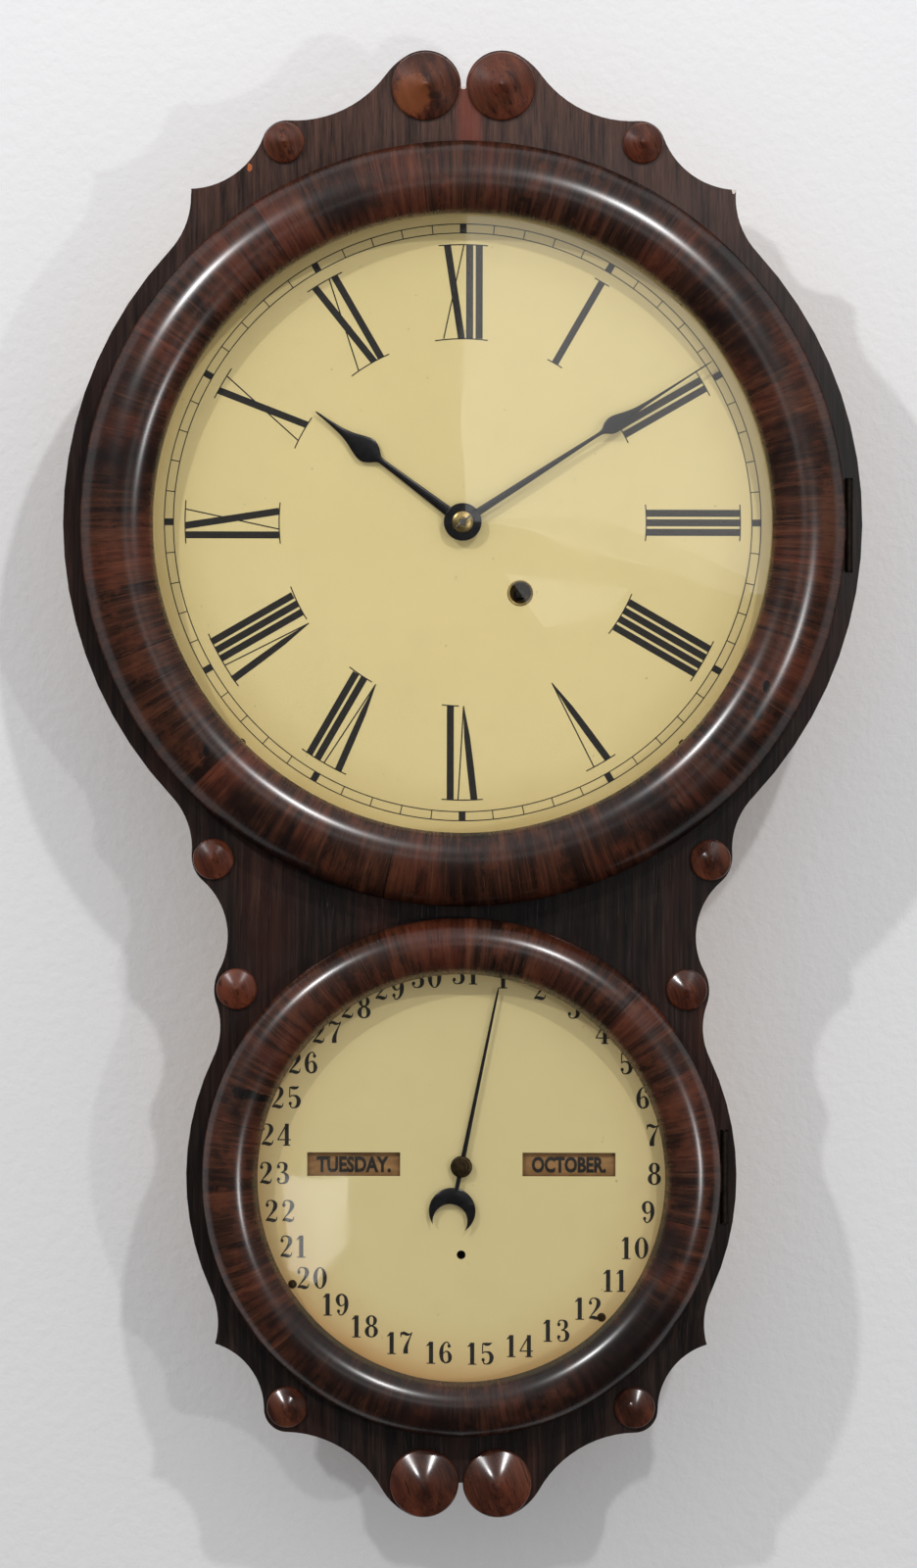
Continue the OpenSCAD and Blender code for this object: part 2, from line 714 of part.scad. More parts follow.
// Outline of a plate: corners cut off and the middle of each side hollowed
module plate_outline() {
    w = plate_high[0] - plate_low[0];
    d = plate_high[1] - plate_low[1];
    c = 10;
    translate([plate_low[0], tz + plate_low[1]])
        difference() {
            polygon([[c, 0], [w - c, 0], [w, c], [w, d - c], [w - c, d], [c, d], [0, d - c], [0, c]]);
            translate([w - 22, d + 8])
                circle(r = 34);
            translate([w + 8, d / 2 + 34])
                circle(r = 20);
        }
}
module movement_back_plate() color(BRASS) {
    difference() {
        slab(mov_h, plate_t)
            union() {
                plate_outline();
                translate([plate_high[0] - block_w, tz + plate_low[1] + 8])
                    square([block_w, plate_high[1] - plate_low[1] - 18]);
                translate([plate_high[0] - block_w, tz + plate_high[1] - 20])
                    square([block_w, 18]);
            }
        pivot_holes(mov_h);
        rod(winding[0], winding[1], mov_h - 1, plate_t + 2, winding_pivot_r + run);
        rod(centre[0], centre[1], mov_h - 1, plate_t + 2, pivot_r + run);
        each_at(plate_screws, gap_h)
            screw_hole(plate_screw_l);
        rod(verge_at[0], verge_at[1] + post_up, mov_h - 1, plate_t + 2, 1.5 + snug);
    }
}
// Holes for the pillars' ends and for the third, escape and verge pivots
module pivot_holes(h) {
    for (p = [third, escape, verge_at])
        rod(p[0], p[1], h - 1, plate_t + 2, pivot_r + run);
    for (p = pillar_places)
        rod(p[0], p[1], h - 1, plate_t + 2, pillar_r * 0.6 + snug);
}
module movement_front_plate() color(BRASS) {
    difference() {
        union() {
            slab(front_h, plate_t)
                plate_outline();
            stud(motion_at, motion_h + 5.2, stud_r);
            stud(half_day_at, half_day_h + 2.2, stud_r);
            stud(lift_pivot, lift_h + 2.2, stud_r);
            rod(lift_pivot[0], lift_pivot[1], top_h - eps, lift_h - top_h - 0.2, stud_r + 1.2);
        }
        pivot_holes(front_h);
        rod(winding[0], winding[1], front_h - 1, plate_t + 2, winding_r + run);
        rod(centre[0], centre[1], front_h - 1, plate_t + 2, centre_r + run);
    }
}
stud_r = 1.4;
module stud(p, to, r) {
    rod(p[0], p[1], front_h + eps, to - front_h, r);
}
module movement_pillars() color(BRASS) {
    for (p = pillar_places) {
        rod(p[0], p[1], gap_h, plate_gap, pillar_r);
        rod(p[0], p[1], mov_h, plate_gap + 2 * plate_t + 0.8, pillar_r * 0.6);
    }
}

// Toothed wheels: n teeth about the pitch radius r, with tooth centres counted from angle phase.
// The six points of a tooth are its two roots, two flanks on the pitch circle and two tips.
function wheel_points(n, r, up, down, share, phase) =
    let (step = 360 / n, w = share * step / 2)
    [for (i = [0:n - 1], k = [[-1.15, -down], [-1, 0], [-0.45, up], [0.45, up], [1, 0], [1.15, -down]])
        polar(r + k[1], phase + i * step + k[0] * w)];
// The phase that puts the second wheel's gaps at the first wheel's teeth on their line of centres
function mesh_at(phase, n1, n2, a) = a + 180 + (0.5 - (phase - a) * n1 / 360) * 360 / n2;
function aim(p, q) = atan2(q[1] - p[1], q[0] - p[0]);
wheel_up = 0.75;
pinion_up = 0.5;
tooth_down = 1.05;
wheel_share = 0.42;
pinion_share = 0.36;

// A wheel with its rim, crossings and hub: n teeth of size m, standing on h, t thick
module wheel(p, h, t, n, m, phase, hub_r, spokes) {
    r = m * n / 2;
    rim = r - tooth_down * m - 2.4;
    spoke_w = 2.2;
    at(p[0], p[1], h)
        linear_extrude(t)
            difference() {
                polygon(wheel_points(n, r, wheel_up * m, tooth_down * m, wheel_share, phase));
                if (spokes > 0)
                    difference() {
                        circle(r = rim);
                        circle(r = hub_r);
                        for (i = [0:spokes - 1])
                            rotate(i * 360 / spokes)
                                translate([0, -spoke_w / 2])
                                    square([rim + 1, spoke_w]);
                    }
            }
}
module pinion(p, h, t, n, m, phase) {
    at(p[0], p[1], h)
        linear_extrude(t)
            polygon(wheel_points(n, m * n / 2, pinion_up * m, tooth_down * m, pinion_share, phase));
}
// An arbor between the plates, with its pivots
shake = 0.2;
module arbor(p, r) {
    rod(p[0], p[1], gap_h + shake, plate_gap - 2 * shake, r);
    rod(p[0], p[1], mov_h, plate_gap + 2 * plate_t, pivot_r);
}

// Heights of the train's wheels
great_h = front_h - 4.9;
centre_h = front_h - 11.6;
third_h = front_h - 19.6;
escape_h = gap_h + 4;
great_t = 2;
train_t = 1.2;
// Phases of the train's teeth
great_phase = 0;
centre_leaf_phase = mesh_at(great_phase, great_teeth, leaves, aim(winding, centre));
centre_phase = 0;
third_leaf_phase = mesh_at(centre_phase, centre_teeth, leaves, aim(centre, third));
third_phase = 0;
escape_leaf_phase = mesh_at(third_phase, third_teeth, leaves, aim(third, escape));

winding_r = 3;
winding_pivot_r = 2;
square_s = 4;
barrel_hub_r = 4.5;
ratchet_r = 9;
ratchet_h = great_h + great_t + 0.7;
module winding_arbor() color(STEEL) {
    rod(winding[0], winding[1], mov_h, plate_gap, winding_pivot_r);
    rod(winding[0], winding[1], gap_h + shake, great_h - gap_h - 2 * shake, barrel_hub_r);
    rod(winding[0], winding[1], gap_h + shake, top_h + 14 - gap_h, winding_r);
    at(winding[0], winding[1], ratchet_h)
        linear_extrude(1)
            polygon([for (i = [0:19], k = [0, 1]) polar(ratchet_r - 1.6 * k, 18 * (i + 0.15 * k))]);
    slab(top_h + 14, face_h - 2.6 - top_h - 14)
        translate(winding - [1, 1] * square_s / 2)
            square(square_s);
}
module great_wheel() color(BRASS) {
    difference() {
        wheel(winding, great_h, great_t, great_teeth, great_m, great_phase, 11, 4);
        rod(winding[0], winding[1], great_h - 1, great_t + 2, winding_r + run);
        rod(winding[0] + click_at[0], winding[1] + click_at[1], great_h - 1, great_t + 2, 1 + snug);
    }
}
// The click stands just clear of the ratchet's tips, with its bent spring on the great wheel's rim
click_at = polar(ratchet_r + 6, 45);
module click_and_spring() color(STEEL) {
    p = winding + click_at;
    rod(p[0], p[1], great_h, great_t + 1.9, 1);
    difference() {
        at(winding[0], winding[1], ratchet_h)
            linear_extrude(1)
                polygon([polar(ratchet_r + 0.3, 63), polar(ratchet_r + 2, 66), polar(ratchet_r + 8, 52),
                    polar(ratchet_r + 8.5, 45), polar(ratchet_r + 6, 36), polar(ratchet_r + 3.5, 42)]);
        rod(p[0], p[1], ratchet_h - 1, 1 + 2, 1 - eps);
    }
    at(winding[0], winding[1], great_h + great_t)
        linear_extrude(1.5)
            polygon(concat([for (a = [60:5:130]) polar(ratchet_r + 8.6, a)],
                [for (a = [130:-5:60]) polar(ratchet_r + 9.2, a)]));
}
// A wound spring: a spiral band, with its outer end led to the nearest pillar
spring_in = barrel_hub_r + 0.4;
spring_t = 0.6;
spring_turns = 7;
spring_end = pillar_places[2];
spring_steps = spring_turns * 24;
spring_a = aim(winding, spring_end);
function spring_point(i, out) =
    polar(spring_in + (spring_r - spring_in - spring_t) * i / spring_steps + out, spring_a - 90 + i * 15);
module mainspring() color(STEEL) {
    reach = norm(spring_end - winding) - pillar_r - 0.3;
    tail = [for (s = [spring_r, spring_r - spring_t])
        polar(s, spring_a - 90) + polar(sqrt(reach * reach - s * s), spring_a)];
    at(winding[0], winding[1], gap_h + 6)
        linear_extrude(great_h - gap_h - 7.5)
            polygon(concat([for (i = [0:spring_steps]) spring_point(i, spring_t)], tail,
                [for (i = [spring_steps:-1:0]) spring_point(i, 0)]));
}
module centre_wheel() color(BRASS) {
    difference() {
        union() {
            wheel(centre, centre_h, train_t, centre_teeth, third_m, centre_phase, 6, 4);
            rod(centre[0], centre[1], centre_h - 1.5, 6, centre_r + 1.2);
            pinion(centre, centre_h + 4, front_h - centre_h - 4.6, leaves, great_m, centre_leaf_phase);
        }
        rod(centre[0], centre[1], centre_h - 3, 20, centre_r + run);
    }
}
module third_wheel() color(BRASS) {
    arbor(third, arbor_r);
    wheel(third, third_h, train_t, third_teeth, escape_m, third_phase, 5, 4);
    pinion(third, centre_h - 1.5, 4.2, leaves, third_m, third_leaf_phase);
}
module escape_wheel() color(BRASS) {
    arbor(escape, arbor_r);
    pinion(escape, third_h - 1.8, 5, leaves, escape_m, escape_leaf_phase);
    at(escape[0], escape[1], escape_h)
        linear_extrude(1)
            difference() {
                polygon([for (i = [0:escape_teeth - 1], k = [[0, 0], [0.12, 0], [0.5, -2.6], [0.72, -2.6]])
                    polar(escape_r + k[1], (i + k[0]) * 360 / escape_teeth)]);
                difference() {
                    circle(r = escape_r - 4.4);
                    circle(r = 4);
                    for (a = [0, 90])
                        rotate(a)
                            square([2 * escape_r, 2], center = true);
                }
            }
}

// Motion work in front of the front plate
cannon_teeth = 16;
motion_teeth = 48;
motion_leaves = 12;
hour_teeth = 48;
hour_leaves = 24;
half_day_teeth = 48;
motion_m = 0.6;
hour_m = motion_m * (cannon_teeth + motion_teeth) / (motion_leaves + hour_teeth);
motion_at = centre + polar(motion_m * (cannon_teeth + motion_teeth) / 2, 45);
half_day_at = centre + polar(motion_m * (hour_leaves + half_day_teeth) / 2, 225);
motion_h = top_h + 2;
hour_h = motion_h + 2.6;
half_day_h = hour_h + 3;
cannon_phase = 0;
motion_phase = mesh_at(cannon_phase, cannon_teeth, motion_teeth, aim(centre, motion_at));
hour_phase = 0;
motion_leaf_phase = mesh_at(hour_phase, hour_teeth, motion_leaves, aim(centre, motion_at) + 180);
hour_leaf_phase = 0;
half_day_phase = mesh_at(hour_leaf_phase, hour_leaves, half_day_teeth, aim(centre, half_day_at));
pipe_r = 3.6;
hour_hand_h = dial_h + 2.6;
minute_hand_h = hour_hand_h + 2.6;

module centre_arbor() color(STEEL) {
    rod(centre[0], centre[1], mov_h, plate_t + 1, pivot_r);
    rod(centre[0], centre[1], gap_h + shake, minute_hand_h - gap_h - shake, centre_r);
    rod(centre[0], centre[1], centre_h - 3.2, 1.5, centre_r + 1.4);
    pinion(centre, motion_h - 0.4, 2, cannon_teeth, motion_m, cannon_phase);
    difference() {
        slab(minute_hand_h - eps, 3.6)
            translate(centre - [0.7, 0.7] * centre_r)
                square(1.4 * centre_r);
        hand_pin_line()
            cylinder(h = 12, r = hand_pin_r + snug, center = true);
    }
}
module hour_wheel() color(BRASS) {
    difference() {
        union() {
            wheel(centre, hour_h, 1, hour_teeth, hour_m, hour_phase, 5.5, 4);
            pinion(centre, half_day_h - 0.4, 1.8, hour_leaves, motion_m, hour_leaf_phase);
            rod(centre[0], centre[1], hour_h - 0.4, hour_hand_h + hand_t + 0.3 - hour_h, pipe_r);
        }
        rod(centre[0], centre[1], hour_h - 3, hour_hand_h - hour_h + 6, centre_r + run);
    }
}
module motion_wheel() color(BRASS) {
    difference() {
        union() {
            wheel(motion_at, motion_h, 1, motion_teeth, motion_m, motion_phase, 5, 4);
            pinion(motion_at, motion_h + eps, 4.6, motion_leaves, hour_m, motion_leaf_phase);
        }
        rod(motion_at[0], motion_at[1], motion_h - 1, 8, stud_r + run);
    }
}
// Turns once a day; its pin drives the calendar
lift_pin_r = 9;
module half_day_wheel() color(BRASS) {
    difference() {
        union() {
            wheel(half_day_at, half_day_h, 1, half_day_teeth, motion_m, half_day_phase, 4, 4);
            rod(half_day_at[0], half_day_at[1], top_h + 0.6, half_day_h - top_h + 1, 2.8);
            rod(half_day_at[0] + lift_pin_r, half_day_at[1], half_day_h, 4.6, 1);
            rod(half_day_at[0] + lift_pin_r, half_day_at[1], half_day_h, 1, 2);
        }
        rod(half_day_at[0], half_day_at[1], top_h, 12, stud_r + run);
    }
}

// Hands, drawn pointing up from the middle
module spade(l, bulb_at, bulb_w, hub_r, shaft_w, tip_w) {
    side = [[shaft_w / 2, 0], [shaft_w * 0.42, bulb_at - bulb_w * 0.75],
        [bulb_w * 0.3, bulb_at - bulb_w * 0.42], [bulb_w * 0.3, bulb_at + bulb_w * 0.4],
        [tip_w * 0.7, bulb_at + bulb_w * 0.95], [tip_w / 2, l - 1.5]];
    polygon(concat(side, [[0, l]], mirrored(side)));
    translate([0, bulb_at])
        circle(r = bulb_w / 2);
    circle(r = hub_r);
}
module hand(p, h, a) {
    at(p[0], p[1], h)
        rotate(-a)
            linear_extrude(hand_t)
                children();
}
hour_hub_r = 7;
minute_hub_r = 9.4;
module hour_hand() color(BLUED) {
    difference() {
        union() {
            hand(centre, hour_hand_h, hour_at)
                spade(hour_l, hour_l * 0.633, 13, hour_hub_r, 3.2, 1.8);
            rod(centre[0], centre[1], hour_hand_h - 1, 1 + eps, pipe_r + 1.4);
        }
        rod(centre[0], centre[1], hour_hand_h - 2, 6, pipe_r + snug);
    }
}
module minute_hand() color(BLUED) {
    difference() {
        union() {
            hand(centre, minute_hand_h, minute_at)
                spade(minute_l, minute_l * 0.593, 9.6, minute_hub_r, 3, 1.5);
            rod(centre[0], centre[1], minute_hand_h - 0.8, 0.8 + eps, centre_r + 1.2);
        }
        slab(minute_hand_h - eps, hand_t + 2)
            translate(centre - [1, 1] * (0.7 * centre_r + snug))
                square(1.4 * centre_r + 2 * snug);
        rod(centre[0], centre[1], minute_hand_h - 2, 2, centre_r + snug);
    }
}
// Domed washer and taper pin over the minute hand
washer_r = 5.2;
washer_t = 1.1;
module hand_washer() color(BRASS) {
    difference() {
        at(centre[0], centre[1], minute_hand_h + hand_t + snug)
            rotate_extrude()
                polygon([[0, 0], [washer_r, 0], [washer_r, 0.3], [washer_r * 0.8, 0.8],
                    [washer_r * 0.5, washer_t], [0, washer_t]]);
        slab(minute_hand_h, 5)
            translate(centre - [1, 1] * (0.7 * centre_r + snug))
                square(1.4 * centre_r + 2 * snug);
    }
}
pin_a = 40;
hand_pin_r = 0.45;
hand_pin_h = minute_hand_h + hand_t + washer_t + hand_pin_r + 0.1;
module hand_pin_line() {
    translate([centre[0], -hand_pin_h, centre[1]])
        rotate([0, 90 - pin_a, 0])
            children();
}
module hand_pin() color(BRASS) {
    hand_pin_line()
        translate([0, 0, -4])
            cylinder(h = 9, r = hand_pin_r);
}

// Pendulum, verge and crutch turn on one line
pend_h = 19;
post_up = 9;
module suspension_post() color(BRASS) {
    p = verge_at + [0, post_up];
    difference() {
        union() {
            rod(p[0], p[1], mov_h, plate_t + 0.6, 1.5);
            rod(p[0], p[1], pend_h - 5, mov_h - pend_h + 5, 3);
            for (h = [pend_h - 3.8, pend_h + 2.3])
                slab(h, 1.5)
                    translate([-3, verge_at[1] - 3])
                        square([6, post_up + 4]);
        }
        rod(verge_at[0], verge_at[1], pend_h - 8, 16, cross_pin_r + run);
    }
}
cross_pin_r = 1.2;
rod_r = 1;
ribbon_l = 20;
bob_at = [0, verge_at[1] - pendulum_l];
nut_t = 3.5;
module pendulum_rod() color(STEEL) {
    rod(verge_at[0], verge_at[1], pend_h - 3.8, 7.6, cross_pin_r);
    translate([-0.15, -pend_h - 2.1, verge_at[1] - ribbon_l])
        cube([0.3, 4.2, ribbon_l]);
    translate([0, -pend_h, bob_at[1] - bob_r - nut_t - 8])
        cylinder(h = verge_at[1] - ribbon_l + 2 - bob_at[1] + bob_r + nut_t + 8, r = rod_r);
}
function bob_edge(a, side) = [bob_r * cos(a), side * (1 + (bob_t / 2 - 1) * sin(a))];
module pendulum_bob() color(BRASS) {
    difference() {
        at(bob_at[0], bob_at[1], pend_h)
            rotate_extrude()
                polygon(concat([[0, -bob_t / 2]], [for (a = [75:-15:0]) bob_edge(a, -1)],
                    [for (a = [0:15:75]) bob_edge(a, 1)], [[0, bob_t / 2]]));
        translate([0, -pend_h, bob_at[1] - bob_r - 1])
            cylinder(h = 2 * bob_r + 2, r = rod_r + snug);
    }
}
module rating_nut() color(BRASS) {
    difference() {
        translate([0, -pend_h, bob_at[1] - bob_r - nut_t])
            cylinder(h = nut_t, r = 4.5);
        translate([0, -pend_h, bob_at[1] - bob_r - nut_t - 1])
            cylinder(h = nut_t + 2, r = rod_r + snug);
    }
}
verge_r = 1.2;
pallet_gap = 1.6;
module verge() color(STEEL) {
    reach = polar(escape_r + pallet_gap, 38) - [0, verge_up];
    arm_side = [[2.5, 1], reach + [1.6, 5], reach + [1.4, 1], reach, reach + [-0.4, 3.4], [1.5, -3]];
    arbor(verge_at, verge_r);
    rod(verge_at[0], verge_at[1], crutch_h, mov_h - crutch_h + 1, pivot_r);
    at(verge_at[0], verge_at[1], escape_h - 0.5)
        linear_extrude(2)
            union() {
                circle(r = 3);
                polygon(concat(arm_side, mirrored(arm_side)));
            }
}
crutch_h = mov_h - 4.5;
crutch_l = 42;
module crutch() color(BRASS) {
    tine = rod_r + 0.4;
    difference() {
        slab(crutch_h, 1)
            union() {
                translate([-1.5, verge_at[1] - crutch_l])
                    square([3, crutch_l]);
                translate([-3, verge_at[1] - crutch_l - 3])
                    square([6, 3.5]);
                translate(verge_at)
                    circle(r = 3);
            }
        rod(verge_at[0], verge_at[1], crutch_h - 1, 3, pivot_r + snug);
    }
    for (s = [0, 1])
        mirror([s, 0, 0])
            translate([tine, -crutch_h - 0.5, verge_at[1] - crutch_l - 3])
                cube([3 - tine, crutch_h - pend_h + 3.5, 1.6]);
}

// Pivots of the two levers, one above the other, and the height of the upper lever
lift_pivot = [half_day_at[0] - 22.9, tz - 45];
lift_h = half_day_h + 2.9;
lever_pivot = [lift_pivot[0], cz + 42.5];

// Calendar works behind the calendar dial
frame_h = 34;
frame_top = frame_h + plate_t;
roller_h = face_h - 2 - roller_r;
roller_z = cz + window_up;
roller_arbor_r = 1.2;
lug_in = window_x - roller_l / 2 - 0.8 - plate_t;
lug_out = window_x + roller_l / 2 + 3;
star_r = 14;
frame_screw_r = 1.6;
frame_screw_places = both([[90, cz + 36], [90, cz - 36]]);
bridge_h = roller_h + 9;
bridge_places = [[0, cz - 33], [0, cz + 52]];
date_r = 2;
works_h = bridge_h - 6.4;
frame_side = [for (p = [[85, 48], [95, 38], [95, -38], [85, -48]]) p + [0, cz]];
module calendar_frame() color(BRASS) {
    difference() {
        union() {
            slab(frame_h, plate_t)
                union() {
                    polygon(concat(frame_side, mirrored(frame_side)));
                    translate([-10, cz - 48])
                        square([20, 110]);
                }
            for (s = [0, 1])
                mirror([s, 0, 0])
                    for (x = [lug_in, lug_out])
                        translate([x, -roller_h - 4, roller_z - 5])
                            cube([plate_t, roller_h + 4 - frame_h, 10]);
            rod(lever_pivot[0], lever_pivot[1], frame_top - eps, works_h - frame_top - 0.2, stud_r + 1.2);
            rod(lever_pivot[0], lever_pivot[1], frame_top - eps, works_h - frame_top + 2.2, stud_r);
        }
        for (s = [-1, 1])
            slab(frame_h - 1, plate_t + 2)
                translate([s * window_x - 20, cz - 38])
                    square([40, 22]);
        for (x = [-100, lug_in - 5])
            translate([x, -roller_h, roller_z])
                rotate([0, 90, 0])
                    cylinder(h = 100 - lug_in + 5, r = roller_arbor_r + run);
        for (p = concat(frame_screw_places, bridge_places))
            rod(p[0], p[1], frame_h - 1, plate_t + 2, frame_screw_r + snug);
        rod(0, cz, frame_h - 1, plate_t + 2, pivot_r + run);
    }
}
module calendar_bridge() color(BRASS) {
    difference() {
        slab(bridge_h, plate_t)
            translate([-7, bridge_places[0][1] - 6])
                square([14, bridge_places[1][1] - bridge_places[0][1] + 12]);
        rod(0, cz, bridge_h - 1, plate_t + 2, date_r + run);
        for (p = bridge_places)
            rod(p[0], p[1], bridge_h - 1, plate_t + 2, frame_screw_r + snug);
    }
}
// Four pillars that screw into the front board, and two that carry the bridge
module calendar_pillars() color(BRASS) {
    for (p = frame_screw_places) {
        rod(p[0], p[1], frame_top, board_h - frame_top, 4);
        rod(p[0], p[1], frame_h - 0.8, board_h - frame_h + 7.8, frame_screw_r);
    }
    for (p = bridge_places) {
        rod(p[0], p[1], frame_top, bridge_h - frame_top, 3);
        rod(p[0], p[1], frame_h - 0.8, bridge_h + plate_t - frame_h + 1.6, frame_screw_r);
    }
}
// Leaf springs that hold the rollers and the date wheel between steps
module detent_springs() color(STEEL) {
    for (s = [0, 1])
        mirror([s, 0, 0])
            translate([lug_out - 2.6, -roller_h, roller_z - star_r - 0.8]) {
                cube([1.8, roller_h - frame_top, 0.5]);
                translate([0, roller_h - frame_top - 0.5, -7])
                    cube([1.8, 0.5, 7.2]);
            }
    slab(works_h, train_t)
        translate([0, cz])
            polygon([[3.3, 52], [4, 52], [2.6, date_wheel_r + 0.3], [1.6, date_wheel_r + 0.3]]);
}
module date_wheel() color(BRASS) {
    rod(0, cz, frame_h, plate_t + 1, pivot_r);
    rod(0, cz, frame_top + shake, date_hand_h - frame_top + hand_t + 0.8, date_r);
    at(0, cz, works_h)
        linear_extrude(train_t)
            polygon([for (i = [0:30], k = [0, 1]) polar(date_wheel_r - 2 * k, (i + 0.2 * k) * 360 / 31)]);
    rod(0, cz, works_h - 1.4, 4, 5);
}
date_hand_h = dial_h + 3;
crescent_r = 11.6;
crescent_at = 22.5;
module date_hand() color(BLUED) {
    difference() {
        union() {
            hand([0, cz], date_hand_h, date_day * 360 / 31) {
                polygon([[-1.2, 0], [-0.45, date_l - 1], [0, date_l], [0.45, date_l - 1], [1.2, 0],
                    [1.2, 5 - crescent_at], [-1.2, 5 - crescent_at]]);
                circle(r = 5.4);
                difference() {
                    translate([0, -crescent_at])
                        circle(r = crescent_r);
                    translate([0, -crescent_at - 5.2])
                        circle(r = 8.6);
                }
            }
            rod(0, cz, date_hand_h - 1.6, 1.6 + eps, 3.4);
        }
        rod(0, cz, date_hand_h - 3, 6, date_r + snug);
    }
}
// A drum on its arbor, with a star of n points at its outer end
module roller(s, n) {
    x0 = window_x - roller_l / 2;
    mirror([s, 0, 0])
        translate([0, -roller_h, roller_z])
            rotate([0, 90, 0]) {
                translate([0, 0, lug_in])
                    cylinder(h = lug_out + plate_t - lug_in, r = roller_arbor_r);
                translate([0, 0, x0])
                    cylinder(h = roller_l, r = roller_r);
                translate([0, 0, x0 + roller_l - eps])
                    cylinder(h = lug_out - shake - x0 - roller_l, r = 2.5);
                translate([0, 0, lug_out - 2.4])
                    linear_extrude(1.2)
                        polygon([for (i = [0:n - 1], k = [0, 0.5])
                            polar(star_r * (1 - 0.6 * k), (i + k) * 360 / n)]);
            }
}
module day_roller() color("#d8b878") roller(1, 7);
module month_roller() color("#d8b878") roller(0, 12);

// Lift: the day pin tips the upper lever, which raises the wire and the lower lever's pawl
arm = 19.8;
wire_x = lift_pivot[0] - arm;
wire_top = lift_pivot[1] - lift / 2;
wire_low = lever_pivot[1] - lift / 2;
wire_h = (lift_h + works_h + train_t) / 2 + 0.2;
hook_r = 0.8;
// The arm that leads from a lever's pivot to the wire
module wire_arm(z, pivot) {
    polygon([[wire_x - 2, z - 1.5], [wire_x - 2, z + 1.5], pivot + [0, 2.6], pivot + [0, -2.6]]);
}
module lift_lever() color(STEEL) {
    tip = half_day_at - [0, lift_pin_r + 1.5];
    difference() {
        slab(lift_h, 1)
            union() {
                translate(lift_pivot)
                    circle(r = 3.4);
                wire_arm(wire_top, lift_pivot);
                polygon([lift_pivot + [-1.6, 2.6], tip + [-6, 0], tip + [6, 0], tip + [6, -2.6],
                    tip + [-5, -2.8], lift_pivot + [1.6, -2.6]]);
            }
        rod(lift_pivot[0], lift_pivot[1], lift_h - 1, 3, stud_r + run);
    }
    rod(wire_x, wire_top, wire_h - 1.5, lift_h - wire_h + 1.5 + eps, hook_r);
}
module calendar_wire() color(STEEL) {
    for (z = [wire_top, wire_low])
        difference() {
            rod(wire_x, z, wire_h - wire_r - 0.2, 2 * wire_r + 0.4, 2.6);
            rod(wire_x, z, wire_h - 2, 4, hook_r + 0.4);
        }
    translate([wire_x, -wire_h, wire_low + 1.9])
        cylinder(h = wire_top - wire_low - 3.8, r = wire_r);
}
module calendar_lever() color(STEEL) {
    tip = [0, cz] + polar(date_wheel_r + 0.4, 135);
    elbow = [roller_l / 2 - window_x + 5, cz + 33.5];
    difference() {
        slab(works_h, train_t)
            union() {
                translate(lever_pivot)
                    circle(r = 3.4);
                wire_arm(wire_low, lever_pivot);
                polygon([lever_pivot + [0, -2.6], lever_pivot + [1.6, 2.6], elbow + [7, 4.5], tip + [-0.6, 3],
                    tip, tip + [-3, 0.6], elbow]);
            }
        rod(lever_pivot[0], lever_pivot[1], works_h - 1, 4, stud_r + run);
    }
    rod(wire_x, wire_low, works_h + train_t - eps, wire_h - works_h - train_t + 1.5, hook_r);
}

front_board();
front_veneer();
box_boards();
back_board();
hanger_plate();
wood_screws();
large_buttons();
small_buttons();
time_dial();
winding_grommet();
calendar_dial();
dial_screws();
fixed_hinge_leaves();
hinge_pins();
time_bezel();
time_glass();
time_putty();
time_hinge_leaf();
time_catch_pin();
calendar_bezel();
calendar_glass();
calendar_putty();
calendar_hinge_leaf();
calendar_catch_pin();
movement_blocks();
movement_back_plate();
movement_front_plate();
movement_pillars();
mainspring();
suspension_post();
centre_arbor();
minute_hand();
hand_washer();
hand_pin();
hour_wheel();
hour_hand();
motion_wheel();
half_day_wheel();
centre_wheel();
third_wheel();
escape_wheel();
great_wheel();
click_and_spring();
winding_arbor();
verge();
crutch();
pendulum_rod();
pendulum_bob();
rating_nut();
calendar_frame();
calendar_bridge();
calendar_pillars();
detent_springs();
date_wheel();
date_hand();
day_roller();
month_roller();
lift_lever();
calendar_wire();
calendar_lever();
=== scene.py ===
# %% [markdown]
# # A double-dial calendar clock
#
# The clock hangs on a wall: a figure-eight front veneered with rosewood, two half-round
# bezels with glass, a time dial above and a calendar dial below.
# The CAD part gives the frame, so every size here is in metres in its frame: x to the right,
# z up, and the dials face -y. A height above the wall is therefore minus y.

import bmesh
import bpy
import numpy as np
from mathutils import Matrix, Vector


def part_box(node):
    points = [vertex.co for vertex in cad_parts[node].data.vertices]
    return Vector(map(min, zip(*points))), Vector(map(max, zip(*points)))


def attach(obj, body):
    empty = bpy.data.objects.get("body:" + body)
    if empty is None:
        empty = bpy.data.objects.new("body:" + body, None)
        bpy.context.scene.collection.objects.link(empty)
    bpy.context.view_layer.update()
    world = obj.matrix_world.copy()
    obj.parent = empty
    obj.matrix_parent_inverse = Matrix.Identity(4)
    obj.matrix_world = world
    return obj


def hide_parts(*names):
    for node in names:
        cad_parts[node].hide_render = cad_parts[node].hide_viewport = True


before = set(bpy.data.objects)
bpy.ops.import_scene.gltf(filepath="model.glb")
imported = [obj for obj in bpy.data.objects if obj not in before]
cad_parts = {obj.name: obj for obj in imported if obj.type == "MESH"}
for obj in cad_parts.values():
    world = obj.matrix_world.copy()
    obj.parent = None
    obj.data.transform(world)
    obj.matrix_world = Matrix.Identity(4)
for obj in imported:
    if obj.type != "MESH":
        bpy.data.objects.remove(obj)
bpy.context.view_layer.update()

MM = 0.001

# %% [markdown]
# The pieces are placed from the boxes of the CAD nodes, so that a change of size in the part
# moves them too. A round node's middle is the middle of its box.

